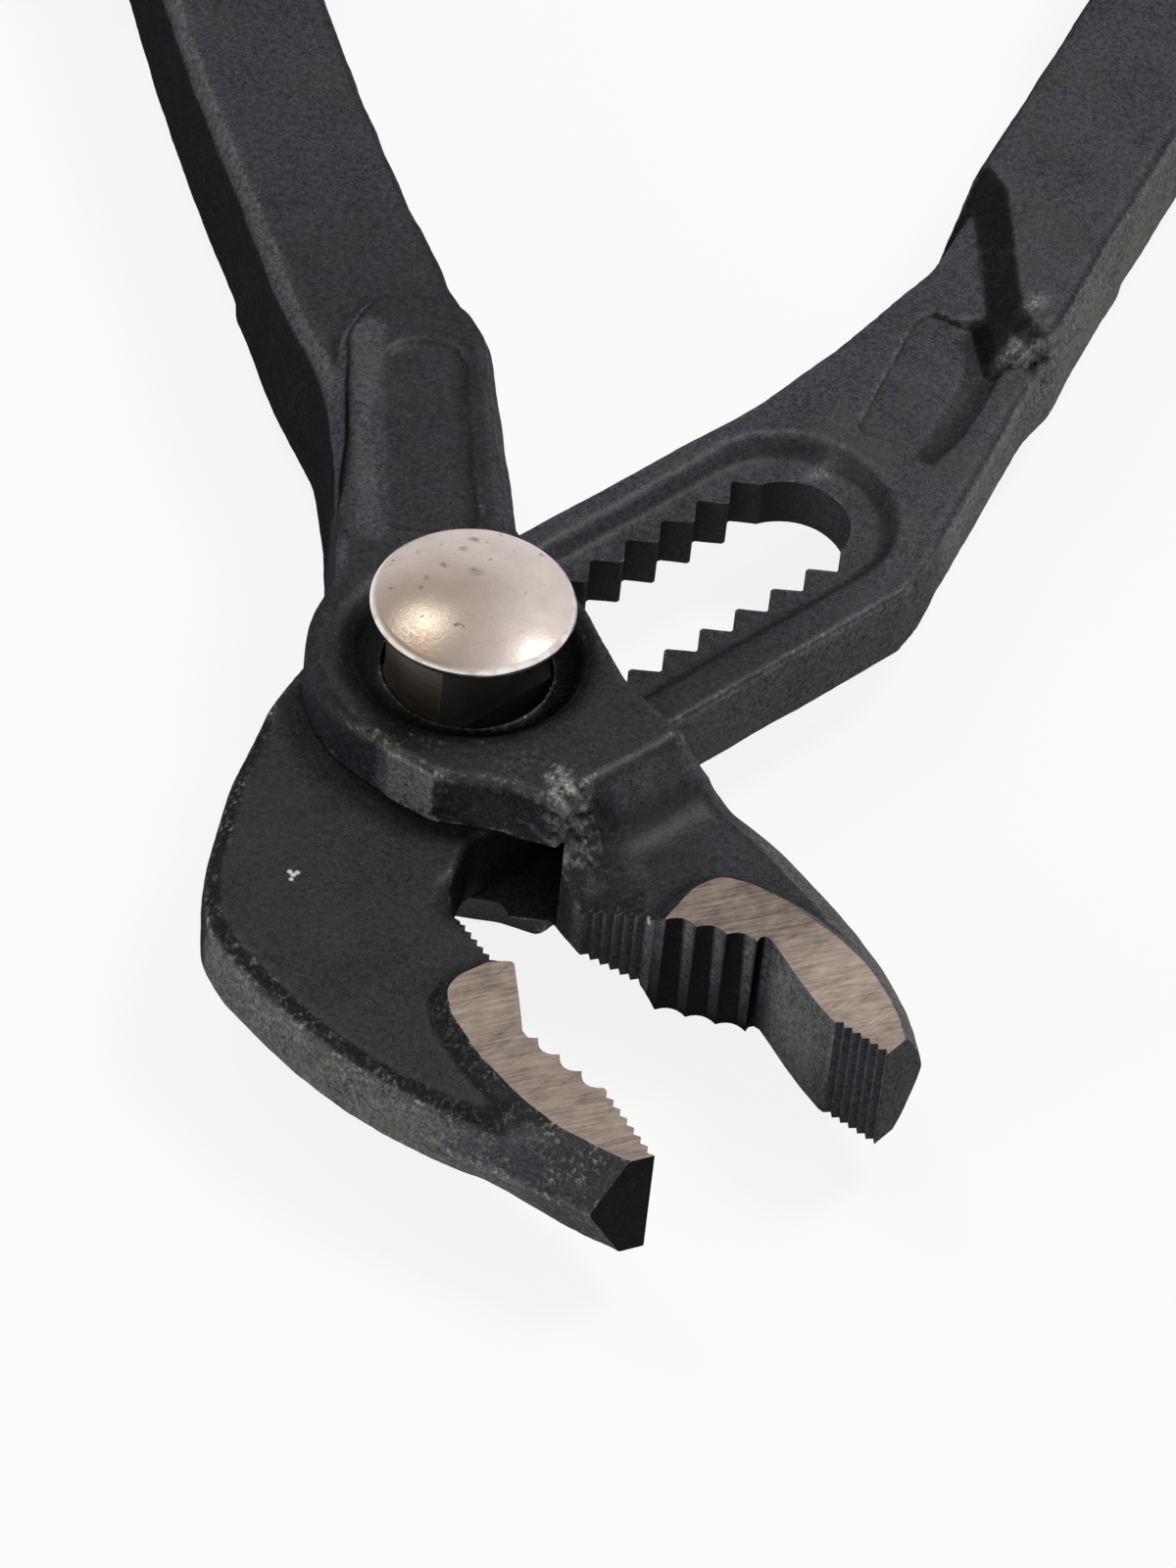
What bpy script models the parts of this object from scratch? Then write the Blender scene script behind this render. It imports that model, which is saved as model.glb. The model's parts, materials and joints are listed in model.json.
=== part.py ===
"""Water pump pliers with a box joint and a push-button locking pin.

Metres, +Z up. The tool lies flat with its handles towards +Y and its jaws towards -Y. The origin is on the
pivot axis, in the plane of the box's back face. Outlines are written in millimetres.
"""

import math

import bpy
import bmesh
from mathutils import Vector

MM = 0.001

# Forgings
PLATE_THICKNESS = 7.5 * MM
CHEEK_THICKNESS = 5.25 * MM
JAW_THICKNESS = 10.4 * MM
SADDLE_THICKNESS = 14.4 * MM
NECK_THICKNESS = 14.6 * MM
TONGUE_PANEL_DEPTH = 0.5 * MM
HANDLE_REACH = 192 * MM
HANDLE_WIDTH = 13.8 * MM
HANDLE_THICKNESS = 13.0 * MM
TANG_WIDTH = 10.0 * MM
TANG_THICKNESS = 8.4 * MM
BOSS_RADIUS = 13.2 * MM
UPPER_RAIL = 11.9 * MM
LOWER_RAIL = 12.8 * MM

# Adjusting slot
SLOT_ANGLE = math.radians(45.8)
PITCH = 3.9 * MM
TOOTH_LAND = 0.35 * MM
SLOT_HALF_WIDTH = 4.9 * MM
SLOT_WALL = 4.6 * MM
SLOT_LEDGE = 3.2 * MM
SLOT_END_RADIUS = 5.1 * MM
NOTCH_COUNT = 9

# Pivot limits that the box has to clear, and the stretch of the slot's line where its walls stand
CLOSE_ANGLE = math.radians(24)
OPEN_ANGLE = math.radians(15)
NECK_WALL_FROM = 5 * MM
NECK_WALL_TO = 36 * MM
NECK_WALL_FLARE = 2.2 * MM
JAW_WALL_FROM = 3 * MM
CUT_REACH = 60 * MM

# Jaw teeth
COARSE_DEPTH = 0.9 * MM
FINE_DEPTH = 0.4 * MM

# Locking pin, button and spring
SHANK_RADIUS = 6.9 * MM
SHANK_FLATS = 6.8 * MM
BUTTON_RADIUS = 8.3 * MM
BUTTON_CROWN = 1.6 * MM
BUTTON_EDGE = 0.8 * MM
BUTTON_STANDOFF = 5.1 * MM
SPIGOT_RADIUS = 2.2 * MM
SPIGOT_LENGTH = 2.4 * MM
SPRING_BORE = 2.4 * MM
SPRING_WIRE = 0.8 * MM
SPRING_TURNS = 8
PIN_CROWN = 2.0 * MM

# Spring seat and snap ring
SEAT_FLANGE = 0.7 * MM
SEAT_LIP = 0.5 * MM
RING_WIRE = 1.0 * MM
RING_COVER = 0.4 * MM
RING_OPENING = math.radians(40)

# Grips
GRIP_WIDTH = 22.0 * MM
GRIP_THICKNESS = 18.4 * MM

# Fits
GAP = 0.3 * MM
RUNNING_FIT = 0.08 * MM
MESH_FIT = 0.12 * MM

# Levels above the middle plane of the tool
WINDOW_HALF = PLATE_THICKNESS / 2 + GAP
BOX_HALF = WINDOW_HALF + CHEEK_THICKNESS
BUTTON_UNDERSIDE = BOX_HALF + BUTTON_STANDOFF - BUTTON_EDGE
COLLAR_TOP = WINDOW_HALF - GAP
STROKE = COLLAR_TOP + SLOT_WALL / 2 + GAP
RING_LEVEL = -BOX_HALF + RING_COVER + RING_WIRE / 2
SEAT_SHOULDER = RING_LEVEL + RING_WIRE / 2 + GAP
SEAT_TOP = SEAT_SHOULDER + SEAT_FLANGE
COLLAR_BOTTOM = SEAT_TOP + GAP / 2 + STROKE
COUNTERBORE_FLOOR = BUTTON_UNDERSIDE - STROKE - GAP
SHANK_TOP = BUTTON_UNDERSIDE - GAP
SPRING_TOP = SHANK_TOP - SPIGOT_LENGTH - PIN_CROWN

# Sizes that follow from the ones above
TOOTH_DEPTH = PITCH / 2 - TOOTH_LAND
COLLAR_REACH = 1.5 * PITCH - MESH_FIT
COLLAR_RADIUS = math.hypot(PITCH, SLOT_HALF_WIDTH + TOOTH_DEPTH)
BACK_BORE = COLLAR_RADIUS + GAP
COUNTERBORE = BUTTON_RADIUS + 2 * GAP
ROUND_STEPS = 48

# Outer arm, in millimetres: x, y and corner radius. Its left side keeps clear of the inner arm's upper rail.
RAIL = UPPER_RAIL / MM
BOX = [
    (0.1 - RAIL, 10, 5), (1.5 - RAIL, -4, 4), (-4.9, -12.7, 2), (-1.4, -14.9, 1), (8.4, -15.4, 1), (11.8, -13.0, 3),
    (18.0, -6.9, 1), (12.8, -1.4, 8), (9.0, 6.4, 8), (2.4, 17.6, 5), (0.4, 24, 8), (-2.0, 37.6, 5),
    (-4.2, 41.8, 4), (0.5 - RAIL, 41.8, 4), (-1.5 - RAIL, 36.5, 5), (-0.3 - RAIL, 24, 12),
]
BOSS = (100, 250)
TONGUE_PANEL = [
    (-8.2, 12.4, 1.5), (-10.2, 25.6, 20), (-10.0, 35.8, 3), (-3.6, 36.2, 3), (-2.2, 25.6, 20), (-0.4, 12.8, 1.5),
]
NECK = [
    (0.3 - RAIL, 9, 3), (-1.6 - RAIL, 23.7, 20), (-3.5 - RAIL, 32.4, 12), (-22.9, 50, 12), (-24.4, 54, 4),
    (-9.8, 54, 4), (-5.4, 45.6, 10), (-1.5, 39, 6), (0.6, 28, 20), (2.6, 17.6, 4), (3.4, 12, 3),
]
SADDLE = [
    (6.0, -8, 2), (8.8, -16.2, 1), (12.4, -18.4, 3), (17.5, -17.2, 4), (20.8, -9.6, 4), (17.6, -6.4, 2), (14, -5, 2),
]
OUTER_JAW = [
    (8.0, 2.0, 5), (20.2, -2.8, 5), (26.4, -9.8, 30), (33.4, -18.2, 30), (38.2, -27.4, 12), (41.0, -36, 12),
    (46.0, -54, 6), (26.0, -54, 6), (1.0, -32, 6), (1.0, -10, 6),
]
OUTER_JAW_BEVEL = 4.7 * MM
WINDOW_WALL_X = 9.4
OUTER_GRIP_START = [(-20, -15.6), (8.6, -15.6), (9.4, -16.8)]
OUTER_FINE_ROOT = [(11.6, -18.7), (16.2, -21.3)]
OUTER_COARSE = [(18.0, -23.9), (25.3, -25.3)]
OUTER_HOLLOW = [(26.5, -25.2), (28.7, -28.5), (31.7, -32.6)]
OUTER_FINE_TIP = [(32.2, -33.0), (36.2, -35.7)]
OUTER_END_FACE = (42.0, -27.6)
# The handle routes are in parts of HANDLE_REACH.
OUTER_HANDLE = [
    (-0.070, 0.242), (-0.091, 0.292), (-0.112, 0.344), (-0.138, 0.417), (-0.167, 0.510), (-0.1995, 0.625),
    (-0.229, 0.755), (-0.250, 0.885), (-0.260, 1.0),
]

# Inner arm, in millimetres along and across its slot
PLATE = [
    (-3, UPPER_RAIL / MM, 6), (-7.8, 10.8, 8), (-14.5, 8.4, 30), (-25.6, 1.0, 20), (-33.4, -7.2, 6),
    (-33.8, -20, 40), (-31.0, -34.6, 40), (-26.2, -46.6, 3), (-25.0, -49.5, 1), (-14.5, -49.5, 1),
    (-14.5, -19, 1), (-16.4, -18.0, 1), (-11.0, -LOWER_RAIL / MM, 4), (37.6, -LOWER_RAIL / MM, 2.5),
    (40.6, -11.6, 3), (62.5, -0.8, 20), (72.2, 3.6, 10), (80, 7.6, 3), (75, 19.6, 3), (70.4, 17.4, 6),
    (65.4, 15.3, 12), (42, UPPER_RAIL / MM, 30),
]
INNER_PAD = [
    (-27.6, -46.2, 3), (-27.4, -36, 20), (-25.6, -27.6, 10), (-23.2, -23.4, 2.5), (-14.5, -24.6, 1),
    (-14.5, -49.5, 1), (-25.0, -49.5, 1),
]
INNER_ROOT = [(61.2, 1.2, 2), (66.5, 0.6, 4), (84, 9.2, 3), (79, 21.5, 3), (71.2, 17.6, 3), (63.4, 7.0, 20)]
INNER_FINE_ROOT = [(-16.6, -18.6), (-17.4, -24.0)]
INNER_HOLLOW = [(-17.4, -25.6), (-19.5, -29.1), (-21.7, -32.0)]
INNER_COARSE = [(-21.0, -33.1), (-20.4, -40.1)]
INNER_FINE_TIP = [(-20.5, -40.7), (-21.9, -47.8)]
INNER_END_FACE = (-32.0, -44.4)
MARK_PANEL = [(47.4, 1.8, 2), (60.2, 9.9, 2), (63.2, 4.9, 2), (50.4, -3.2, 2)]
MARK_PANEL_DEPTH = 0.35 * MM
INNER_HANDLE = [
    (0.383, 0.062), (0.4115, 0.075), (0.448, 0.0917), (0.5417, 0.1354), (0.6526, 0.1927), (0.7625, 0.26),
    (0.867, 0.3385), (0.958, 0.422),
]
PLATE_BEVEL = 1.2 * MM
FORGED_BEVEL = 1.4 * MM
GRIP_AT = 0.52

for leftover in list(bpy.data.objects):
    bpy.data.objects.remove(leftover, do_unlink=True)


def new_collection(name):
    collection = bpy.data.collections.new(name)
    bpy.context.scene.collection.children.link(collection)
    return collection


parts = new_collection("water_pump_pliers")
cutters = new_collection("cutters")


def make_material(name, colour, roughness, metallic):
    material = bpy.data.materials.new(name)
    material.use_nodes = True
    shader = material.node_tree.nodes["Principled BSDF"]
    shader.inputs["Base Color"].default_value = (*colour, 1)
    shader.inputs["Roughness"].default_value = roughness
    shader.inputs["Metallic"].default_value = metallic
    return material


black_oxide = make_material("black_oxide_steel", (0.028, 0.028, 0.032), 0.5, 0.6)
pin_steel = make_material("pin_steel", (0.12, 0.11, 0.09), 0.35, 1.0)
nickel = make_material("nickel", (0.66, 0.6, 0.56), 0.28, 1.0)
spring_steel = make_material("spring_steel", (0.5, 0.5, 0.5), 0.3, 1.0)
grip_plastic = make_material("grip_plastic", (0.03, 0.03, 0.03), 0.55, 0.0)


def make_empty(name, location, turn=0.0, parent=None):
    empty = bpy.data.objects.new(name, None)
    empty.location = location
    empty.rotation_euler.z = turn
    empty.parent = parent
    parts.objects.link(empty)
    return empty


middle = make_empty("middle_plane", (0, 0, BOX_HALF))
pivot = make_empty("pivot_axis", (0, 0, 0), SLOT_ANGLE, middle)


def place(obj, parent, material=None):
    """Files a shape as a finished piece if it has a material, and as a helper if not."""
    obj.parent = parent
    if material:
        parts.objects.link(obj)
        obj.data.materials.append(material)
        obj.data.shade_smooth()
        obj.data.set_sharp_from_angle(angle=math.radians(30))
    else:
        cutters.objects.link(obj)
        obj.hide_render = True
        obj.display_type = "WIRE"
    return obj


def boolean(target, tool, operation, solver):
    modifier = target.modifiers.new(tool.name, "BOOLEAN")
    modifier.operation = operation
    modifier.object = tool
    modifier.solver = solver


def join(target, *tools, solver="EXACT"):
    for tool in tools:
        boolean(target, tool, "UNION", solver)


def cut(target, *tools, solver="EXACT"):
    for tool in tools:
        boolean(target, tool, "DIFFERENCE", solver)


def rounded(corners, least=0.0):
    """Outline in metres through corners (x, y, radius) in millimetres, with each corner turned by an arc."""
    points = []
    for index, (x, y, radius) in enumerate(corners):
        here = Vector((x, y))
        back = Vector(corners[index - 1][:2]) - here
        ahead = Vector(corners[(index + 1) % len(corners)][:2]) - here
        half = back.angle(ahead) / 2
        reach = min(max(radius, 1.1 * least / MM) / math.tan(half), 0.49 * back.length, 0.49 * ahead.length)
        radius = reach * math.tan(half)
        centre = here + (back.normalized() + ahead.normalized()).normalized() * (radius / math.sin(half))
        start = here + back.normalized() * reach - centre
        turn = start.angle_signed(here + ahead.normalized() * reach - centre)
        steps = max(1, math.ceil(abs(turn) / math.radians(12)))
        for step in range(steps + 1):
            angle = math.atan2(start.y, start.x) - turn * step / steps
            points.append((centre + Vector((math.cos(angle), math.sin(angle))) * radius) * MM)
    return points


def in_metres(points):
    return [Vector(point) * MM for point in points]


def arc(centre, radius, first, last, steps):
    angles = [first + (last - first) * step / steps for step in range(steps + 1)]
    return [Vector((centre[0] + radius * math.cos(a), centre[1] + radius * math.sin(a))) for a in angles]


def from_curve(name, curve):
    """Mesh object with the shape of a curve, its caps welded to its sides."""
    source = bpy.data.objects.new(name, curve)
    bpy.context.scene.collection.objects.link(source)
    graph = bpy.context.evaluated_depsgraph_get()
    mesh = bpy.data.meshes.new_from_object(source.evaluated_get(graph))
    bpy.data.objects.remove(source, do_unlink=True)
    bpy.data.curves.remove(curve)
    shape = bmesh.new()
    shape.from_mesh(mesh)
    bmesh.ops.remove_doubles(shape, verts=shape.verts, dist=1e-6)
    bmesh.ops.recalc_face_normals(shape, faces=shape.faces)
    shape.to_mesh(mesh)
    shape.free()
    mesh.name = name
    return bpy.data.objects.new(name, mesh)


def slab(name, outline, low, high, bevel=0.0):
    """Solid of a flat outline between two levels. Its rims can be bevelled."""
    if sum(a.cross(b) for a, b in zip(outline, outline[1:] + outline[:1])) < 0:
        outline = outline[::-1]
    count = len(outline)
    points = [(point.x, point.y, level) for level in (low, high) for point in outline]
    sides = [(i, (i + 1) % count, (i + 1) % count + count, i + count) for i in range(count)]
    mesh = bpy.data.meshes.new(name)
    mesh.from_pydata(points, [], [*sides, range(count - 1, -1, -1), range(count, 2 * count)])
    obj = bpy.data.objects.new(name, mesh)
    if bevel:
        rims = obj.modifiers.new("rims", "BEVEL")
        rims.width = bevel
        rims.segments = 1
        rims.limit_method = "ANGLE"
        rims.angle_limit = math.radians(60)
        rims.use_clamp_overlap = False
    return obj


def forged(name, corners, thickness, bevel):
    return slab(name, rounded(corners, bevel), -thickness / 2, thickness / 2, bevel)


def turned(name, profile):
    """Solid of revolution about Z. The profile (radius, level) runs from its top to its bottom."""
    mesh = bpy.data.meshes.new(name)
    edges = [(step, step + 1) for step in range(len(profile) - 1)]
    mesh.from_pydata([(radius, 0, level) for radius, level in profile], edges, [])
    obj = bpy.data.objects.new(name, mesh)
    screw = obj.modifiers.new("turn", "SCREW")
    screw.steps = ROUND_STEPS
    screw.render_steps = ROUND_STEPS
    screw.use_merge_vertices = True
    screw.merge_threshold = 1e-6
    return obj


def smooth_path(points, spans=3):
    """Points of a smooth curve through hand-chosen ones."""
    ends = [points[0] * 2 - points[1], *points, points[-1] * 2 - points[-2]]
    path = []
    for before, start, end, after in zip(ends, ends[1:], ends[2:], ends[3:]):
        for step in range(spans):
            t = step / spans
            bend = (before * 2 - start * 5 + end * 4 - after) * t**2
            bend += (start * 3 - before - end * 3 + after) * t**3
            path.append((start * 2 + (end - before) * t + bend) / 2)
    return path + [points[-1]]


def swept(name, path, width, thickness, power, radii):
    """Bar along a path in the middle plane. Its section is an ellipse, or near a rectangle at a high power."""
    profile = bpy.data.curves.new(name + "_section", "CURVE")
    loop = profile.splines.new("POLY")
    steps = 20
    loop.points.add(steps - 1)
    for index, point in enumerate(loop.points):
        angle = math.tau * (index + 0.5) / steps
        across = math.copysign(abs(math.cos(angle)) ** (2 / power), math.cos(angle))
        up = math.copysign(abs(math.sin(angle)) ** (2 / power), math.sin(angle))
        point.co = (across * width / 2, up * thickness / 2, 0, 1)
    loop.use_cyclic_u = True
    section = bpy.data.objects.new(name + "_section", profile)
    curve = bpy.data.curves.new(name, "CURVE")
    curve.dimensions = "3D"
    curve.twist_mode = "Z_UP"
    curve.bevel_mode = "OBJECT"
    curve.bevel_object = section
    curve.use_fill_caps = True
    spline = curve.splines.new("POLY")
    spline.points.add(len(path) - 1)
    for point, place_at, radius in zip(spline.points, path, radii):
        point.co = (place_at.x, place_at.y, 0, 1)
        point.radius = radius
    obj = from_curve(name, curve)
    bpy.data.objects.remove(section, do_unlink=True)
    bpy.data.curves.remove(profile)
    return obj


def saw(ends, count, depth, inward):
    """Teeth between two crests: points that dip into the metal by a depth between neighbours."""
    first, last = in_metres(ends)
    points = []
    for tooth in range(count + 1):
        points.append(first.lerp(last, tooth / count))
        if tooth < count:
            points.append(first.lerp(last, (tooth + 0.5) / count) + inward * depth)
    return points


def along_rail(offset, along, turn):
    """Point beside the slot's line, with the inner arm turned from rest."""
    angle = SLOT_ANGLE + turn
    line = Vector((math.cos(angle), math.sin(angle)))
    return line * along + Vector((-line.y, line.x)) * offset


def slot_side(low, high, tip, land, depth):
    """Toothed edge of the slot for notches low to high, from left to right."""
    points = []
    for notch in range(low, high + 1):
        for along, offset in (
            (notch * PITCH - PITCH / 2 + land / 2, tip),
            (notch * PITCH - PITCH / 2 + land / 2 + depth, tip + depth),
            (notch * PITCH + PITCH / 2 - land / 2 - depth, tip + depth),
            (notch * PITCH + PITCH / 2 - land / 2, tip),
        ):
            points.append(Vector((along, offset)))
    return points


def mirrored(points):
    """The other side of an outline that is symmetric about its length, in the order that closes it."""
    return [Vector((point.x, -point.y)) for point in reversed(points)]


def make_outer_arm():
    box = forged("outer_arm", BOX, 2 * BOX_HALF, FORGED_BEVEL / 2)
    place(box, middle, black_oxide)
    circle = arc((0, 0), BOSS_RADIUS, *map(math.radians, BOSS), 26)
    boss = slab("boss", circle, -BOX_HALF, BOX_HALF, FORGED_BEVEL / 2)
    neck = forged("neck", NECK, NECK_THICKNESS, FORGED_BEVEL)
    saddle = forged("saddle", SADDLE, SADDLE_THICKNESS, FORGED_BEVEL)
    jaw = forged("outer_jaw", OUTER_JAW, JAW_THICKNESS, OUTER_JAW_BEVEL)
    handle, tang = make_handle("outer", OUTER_HANDLE)
    for piece in (boss, neck, saddle, jaw, handle, tang):
        join(box, place(piece, middle))

    inward = Vector((0.35, 0.94))
    grip = in_metres(OUTER_GRIP_START)
    grip += saw(OUTER_FINE_ROOT, 5, FINE_DEPTH, inward) + saw(OUTER_COARSE, 3, COARSE_DEPTH, inward)
    grip += in_metres(OUTER_HOLLOW) + saw(OUTER_FINE_TIP, 6, FINE_DEPTH, inward)
    grip += in_metres([OUTER_END_FACE])
    grip += [Vector((CUT_REACH, grip[-1].y)), Vector((CUT_REACH, -CUT_REACH)), Vector((grip[0].x, -CUT_REACH))]
    teeth = slab("outer_jaw_teeth", grip, -BOX_HALF, BOX_HALF)

    upper = UPPER_RAIL + GAP + RUNNING_FIT
    lower = -LOWER_RAIL - GAP
    corner = along_rail(lower, JAW_WALL_FROM, -OPEN_ANGLE)
    wall = WINDOW_WALL_X * MM
    entry = along_rail(upper, NECK_WALL_FROM, CLOSE_ANGLE)
    passage = [
        entry,
        along_rail(upper + NECK_WALL_FLARE, NECK_WALL_TO, CLOSE_ANGLE),
        Vector((CUT_REACH, CUT_REACH)),
        Vector((CUT_REACH, 0)),
        along_rail(lower, CUT_REACH / 2, -OPEN_ANGLE),
        along_rail(lower, 2 * JAW_WALL_FROM, -OPEN_ANGLE),
        Vector((wall, corner.y - JAW_WALL_FROM)),
        Vector((wall, -CUT_REACH)),
        Vector((-CUT_REACH, -CUT_REACH)),
        Vector((-CUT_REACH, entry.y)),
    ]
    window = slab("window", passage, -WINDOW_HALF, WINDOW_HALF)

    groove = RING_WIRE / 2 + GAP / 3
    top, bottom = BOX_HALF + GAP, -BOX_HALF - GAP
    bore = turned("pin_bore", [
        (0, top), (COUNTERBORE, top), (COUNTERBORE, COUNTERBORE_FLOOR),
        (SHANK_RADIUS + RUNNING_FIT, COUNTERBORE_FLOOR), (SHANK_RADIUS + RUNNING_FIT, 0), (BACK_BORE, 0),
        (BACK_BORE, RING_LEVEL + groove), (BACK_BORE + RING_WIRE * 0.6, RING_LEVEL + groove),
        (BACK_BORE + RING_WIRE * 0.6, RING_LEVEL - groove), (BACK_BORE, RING_LEVEL - groove),
        (BACK_BORE, bottom), (0, bottom),
    ])
    panel = rounded(TONGUE_PANEL)
    front_panel = slab("front_panel", panel, BOX_HALF - TONGUE_PANEL_DEPTH, BOX_HALF + GAP)
    back_panel = slab("back_panel", panel, -BOX_HALF - GAP, -BOX_HALF + TONGUE_PANEL_DEPTH)
    for piece in (teeth, window, bore, front_panel, back_panel):
        cut(box, place(piece, middle))
    return box


def make_handle(side, route):
    """Bare handle and the narrower tang that carries the grip."""
    path = smooth_path([Vector(point) * HANDLE_REACH for point in route])
    bare = path[: round(len(path) * GRIP_AT)]
    tang = path[len(bare) - 3:]
    handle = swept(side + "_handle", bare, HANDLE_WIDTH, HANDLE_THICKNESS, 5, [1] * len(bare))
    core = swept(side + "_tang", tang, TANG_WIDTH, TANG_THICKNESS, 7, [1] * len(tang))
    return handle, core


def make_inner_arm():
    half = PLATE_THICKNESS / 2
    arm = forged("inner_arm", PLATE, PLATE_THICKNESS, PLATE_BEVEL)
    place(arm, pivot, black_oxide)
    pad = forged("inner_pad", INNER_PAD, JAW_THICKNESS, PLATE_BEVEL)
    root = forged("inner_root", INNER_ROOT, HANDLE_THICKNESS, FORGED_BEVEL)
    handle, tang = make_handle("inner", INNER_HANDLE)
    for piece in (pad, root, handle, tang):
        join(arm, place(piece, pivot))

    inward = Vector((-1, 0))
    grip = [Vector((0, INNER_FINE_ROOT[0][1] * MM))]
    grip += saw(INNER_FINE_ROOT, 6, FINE_DEPTH, inward) + in_metres(INNER_HOLLOW)
    grip += saw(INNER_COARSE, 3, COARSE_DEPTH, inward) + saw(INNER_FINE_TIP, 7, FINE_DEPTH, inward)
    grip += in_metres([INNER_END_FACE])
    grip += [Vector((grip[-1].x, -CUT_REACH)), Vector((0, -CUT_REACH))]
    teeth = slab("inner_jaw_teeth", grip, -JAW_THICKNESS, JAW_THICKNESS)

    edge = slot_side(-1, NOTCH_COUNT, SLOT_HALF_WIDTH, TOOTH_LAND, TOOTH_DEPTH)
    start = -SHANK_RADIUS - 2 * GAP
    tip = edge[-1]
    centre = tip.x + SLOT_END_RADIUS * (1 - math.cos(math.radians(75))) - SLOT_END_RADIUS
    end = arc((centre, 0), SLOT_END_RADIUS, math.radians(75), math.radians(-75), 14)
    corner = [Vector((start, SLOT_HALF_WIDTH - 1 * MM)), Vector((start + 1 * MM, SLOT_HALF_WIDTH))]
    slot = slab("slot", corner + edge + end + mirrored(corner + edge), -half - GAP, half + GAP)
    wide = SLOT_HALF_WIDTH + SLOT_LEDGE
    ledge = arc((centre, 0), wide, math.radians(90), math.radians(-90), 20)
    ledge += [Vector((start - SLOT_LEDGE / 2, -wide)), Vector((start - SLOT_LEDGE / 2, wide))]
    front_ledge = slab("front_ledge", ledge, SLOT_WALL / 2, half + GAP)
    back_ledge = slab("back_ledge", ledge, -half - GAP, -SLOT_WALL / 2)
    panel = slab("mark_panel", rounded(MARK_PANEL), half - MARK_PANEL_DEPTH, half + GAP)
    for piece in (teeth, slot, front_ledge, back_ledge, panel):
        cut(arm, place(piece, pivot))
    return arm


def make_pin():
    ease = MESH_FIT * math.tan(math.radians(22.5))
    edge = slot_side(-1, 1, SLOT_HALF_WIDTH - MESH_FIT, TOOTH_LAND + 2 * ease, TOOTH_DEPTH)
    edge = [Vector((-COLLAR_REACH, edge[0].y)), *edge, Vector((COLLAR_REACH, edge[-1].y))]
    pin = slab("toothed_pin", edge + mirrored(edge), COLLAR_BOTTOM, COLLAR_TOP)
    place(pin, pivot, pin_steel)
    swing = math.asin(SHANK_FLATS / 2 / SHANK_RADIUS)
    outline = arc((0, 0), SHANK_RADIUS, -swing, swing, 12)
    outline += arc((0, 0), SHANK_RADIUS, math.pi - swing, math.pi + swing, 12)
    shank = slab("shank", outline, COLLAR_BOTTOM + GAP, SHANK_TOP)
    join(pin, place(shank, pivot))
    spring_bore = turned("spring_bore", [
        (0, SPRING_TOP), (SPRING_BORE, SPRING_TOP), (SPRING_BORE, COLLAR_BOTTOM - GAP), (0, COLLAR_BOTTOM - GAP),
    ])
    spigot_hole = turned("spigot_hole", [
        (0, SHANK_TOP + GAP), (SPIGOT_RADIUS + RUNNING_FIT, SHANK_TOP + GAP),
        (SPIGOT_RADIUS + RUNNING_FIT, SHANK_TOP - SPIGOT_LENGTH), (0, SHANK_TOP - SPIGOT_LENGTH),
    ])
    cut(pin, place(spring_bore, pivot), place(spigot_hole, pivot))
    return pin


def make_button():
    rim = BUTTON_UNDERSIDE + BUTTON_EDGE
    radius = (BUTTON_RADIUS**2 + BUTTON_CROWN**2) / (2 * BUTTON_CROWN)
    swing = math.asin(BUTTON_RADIUS / radius)
    dome = [(radius * math.sin(swing * step / 8), rim + BUTTON_CROWN - radius * (1 - math.cos(swing * step / 8)))
            for step in range(9)]
    foot = BUTTON_UNDERSIDE - SPIGOT_LENGTH
    cap = turned("button_cap", dome + [
        (BUTTON_RADIUS, BUTTON_UNDERSIDE + BUTTON_EDGE / 3), (BUTTON_RADIUS - BUTTON_EDGE / 3, BUTTON_UNDERSIDE),
        (SPIGOT_RADIUS, BUTTON_UNDERSIDE), (SPIGOT_RADIUS, foot), (0, foot),
    ])
    return place(cap, pivot, nickel)


def make_spring():
    radius = SPRING_BORE - GAP - SPRING_WIRE / 2
    low = SEAT_TOP + GAP / 2 + SPRING_WIRE / 2
    high = SPRING_TOP - GAP / 2 - SPRING_WIRE / 2
    per_turn = 10
    count = SPRING_TURNS * per_turn
    route = []
    for step in range(count + 1):
        angle = math.tau * step / per_turn
        route.append(Vector((radius * math.cos(angle), radius * math.sin(angle), low + (high - low) * step / count)))
    apart = [(route[a] - route[b]).length for a in range(count) for b in range(a + per_turn - 2, count + 1)]
    print(f"return_spring: least gap between turns {(min(apart) - SPRING_WIRE) / MM:.2f} mm")
    return place(wire("return_spring", route, SPRING_WIRE), pivot, spring_steel)


def wire(name, route, thickness):
    curve = bpy.data.curves.new(name, "CURVE")
    curve.dimensions = "3D"
    curve.bevel_depth = thickness / 2
    curve.bevel_resolution = 1
    curve.use_fill_caps = True
    spline = curve.splines.new("POLY")
    spline.points.add(len(route) - 1)
    for point, place_at in zip(spline.points, route):
        point.co = (*place_at, 1)
    return from_curve(name, curve)


def make_seat():
    inner = BACK_BORE - SEAT_LIP - GAP
    seat = turned("spring_seat", [
        (0, SEAT_TOP), (BACK_BORE - GAP, SEAT_TOP), (BACK_BORE - GAP, SEAT_SHOULDER), (inner, SEAT_SHOULDER),
        (inner, -BOX_HALF), (0, -BOX_HALF),
    ])
    place(seat, middle, pin_steel)
    radius = inner + GAP / 2 + RING_WIRE / 2
    sweep = arc((0, 0), radius, RING_OPENING / 2, math.tau - RING_OPENING / 2, 40)
    ring = wire("snap_ring", [Vector((point.x, point.y, RING_LEVEL)) for point in sweep], RING_WIRE)
    return seat, place(ring, middle, spring_steel)


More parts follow.
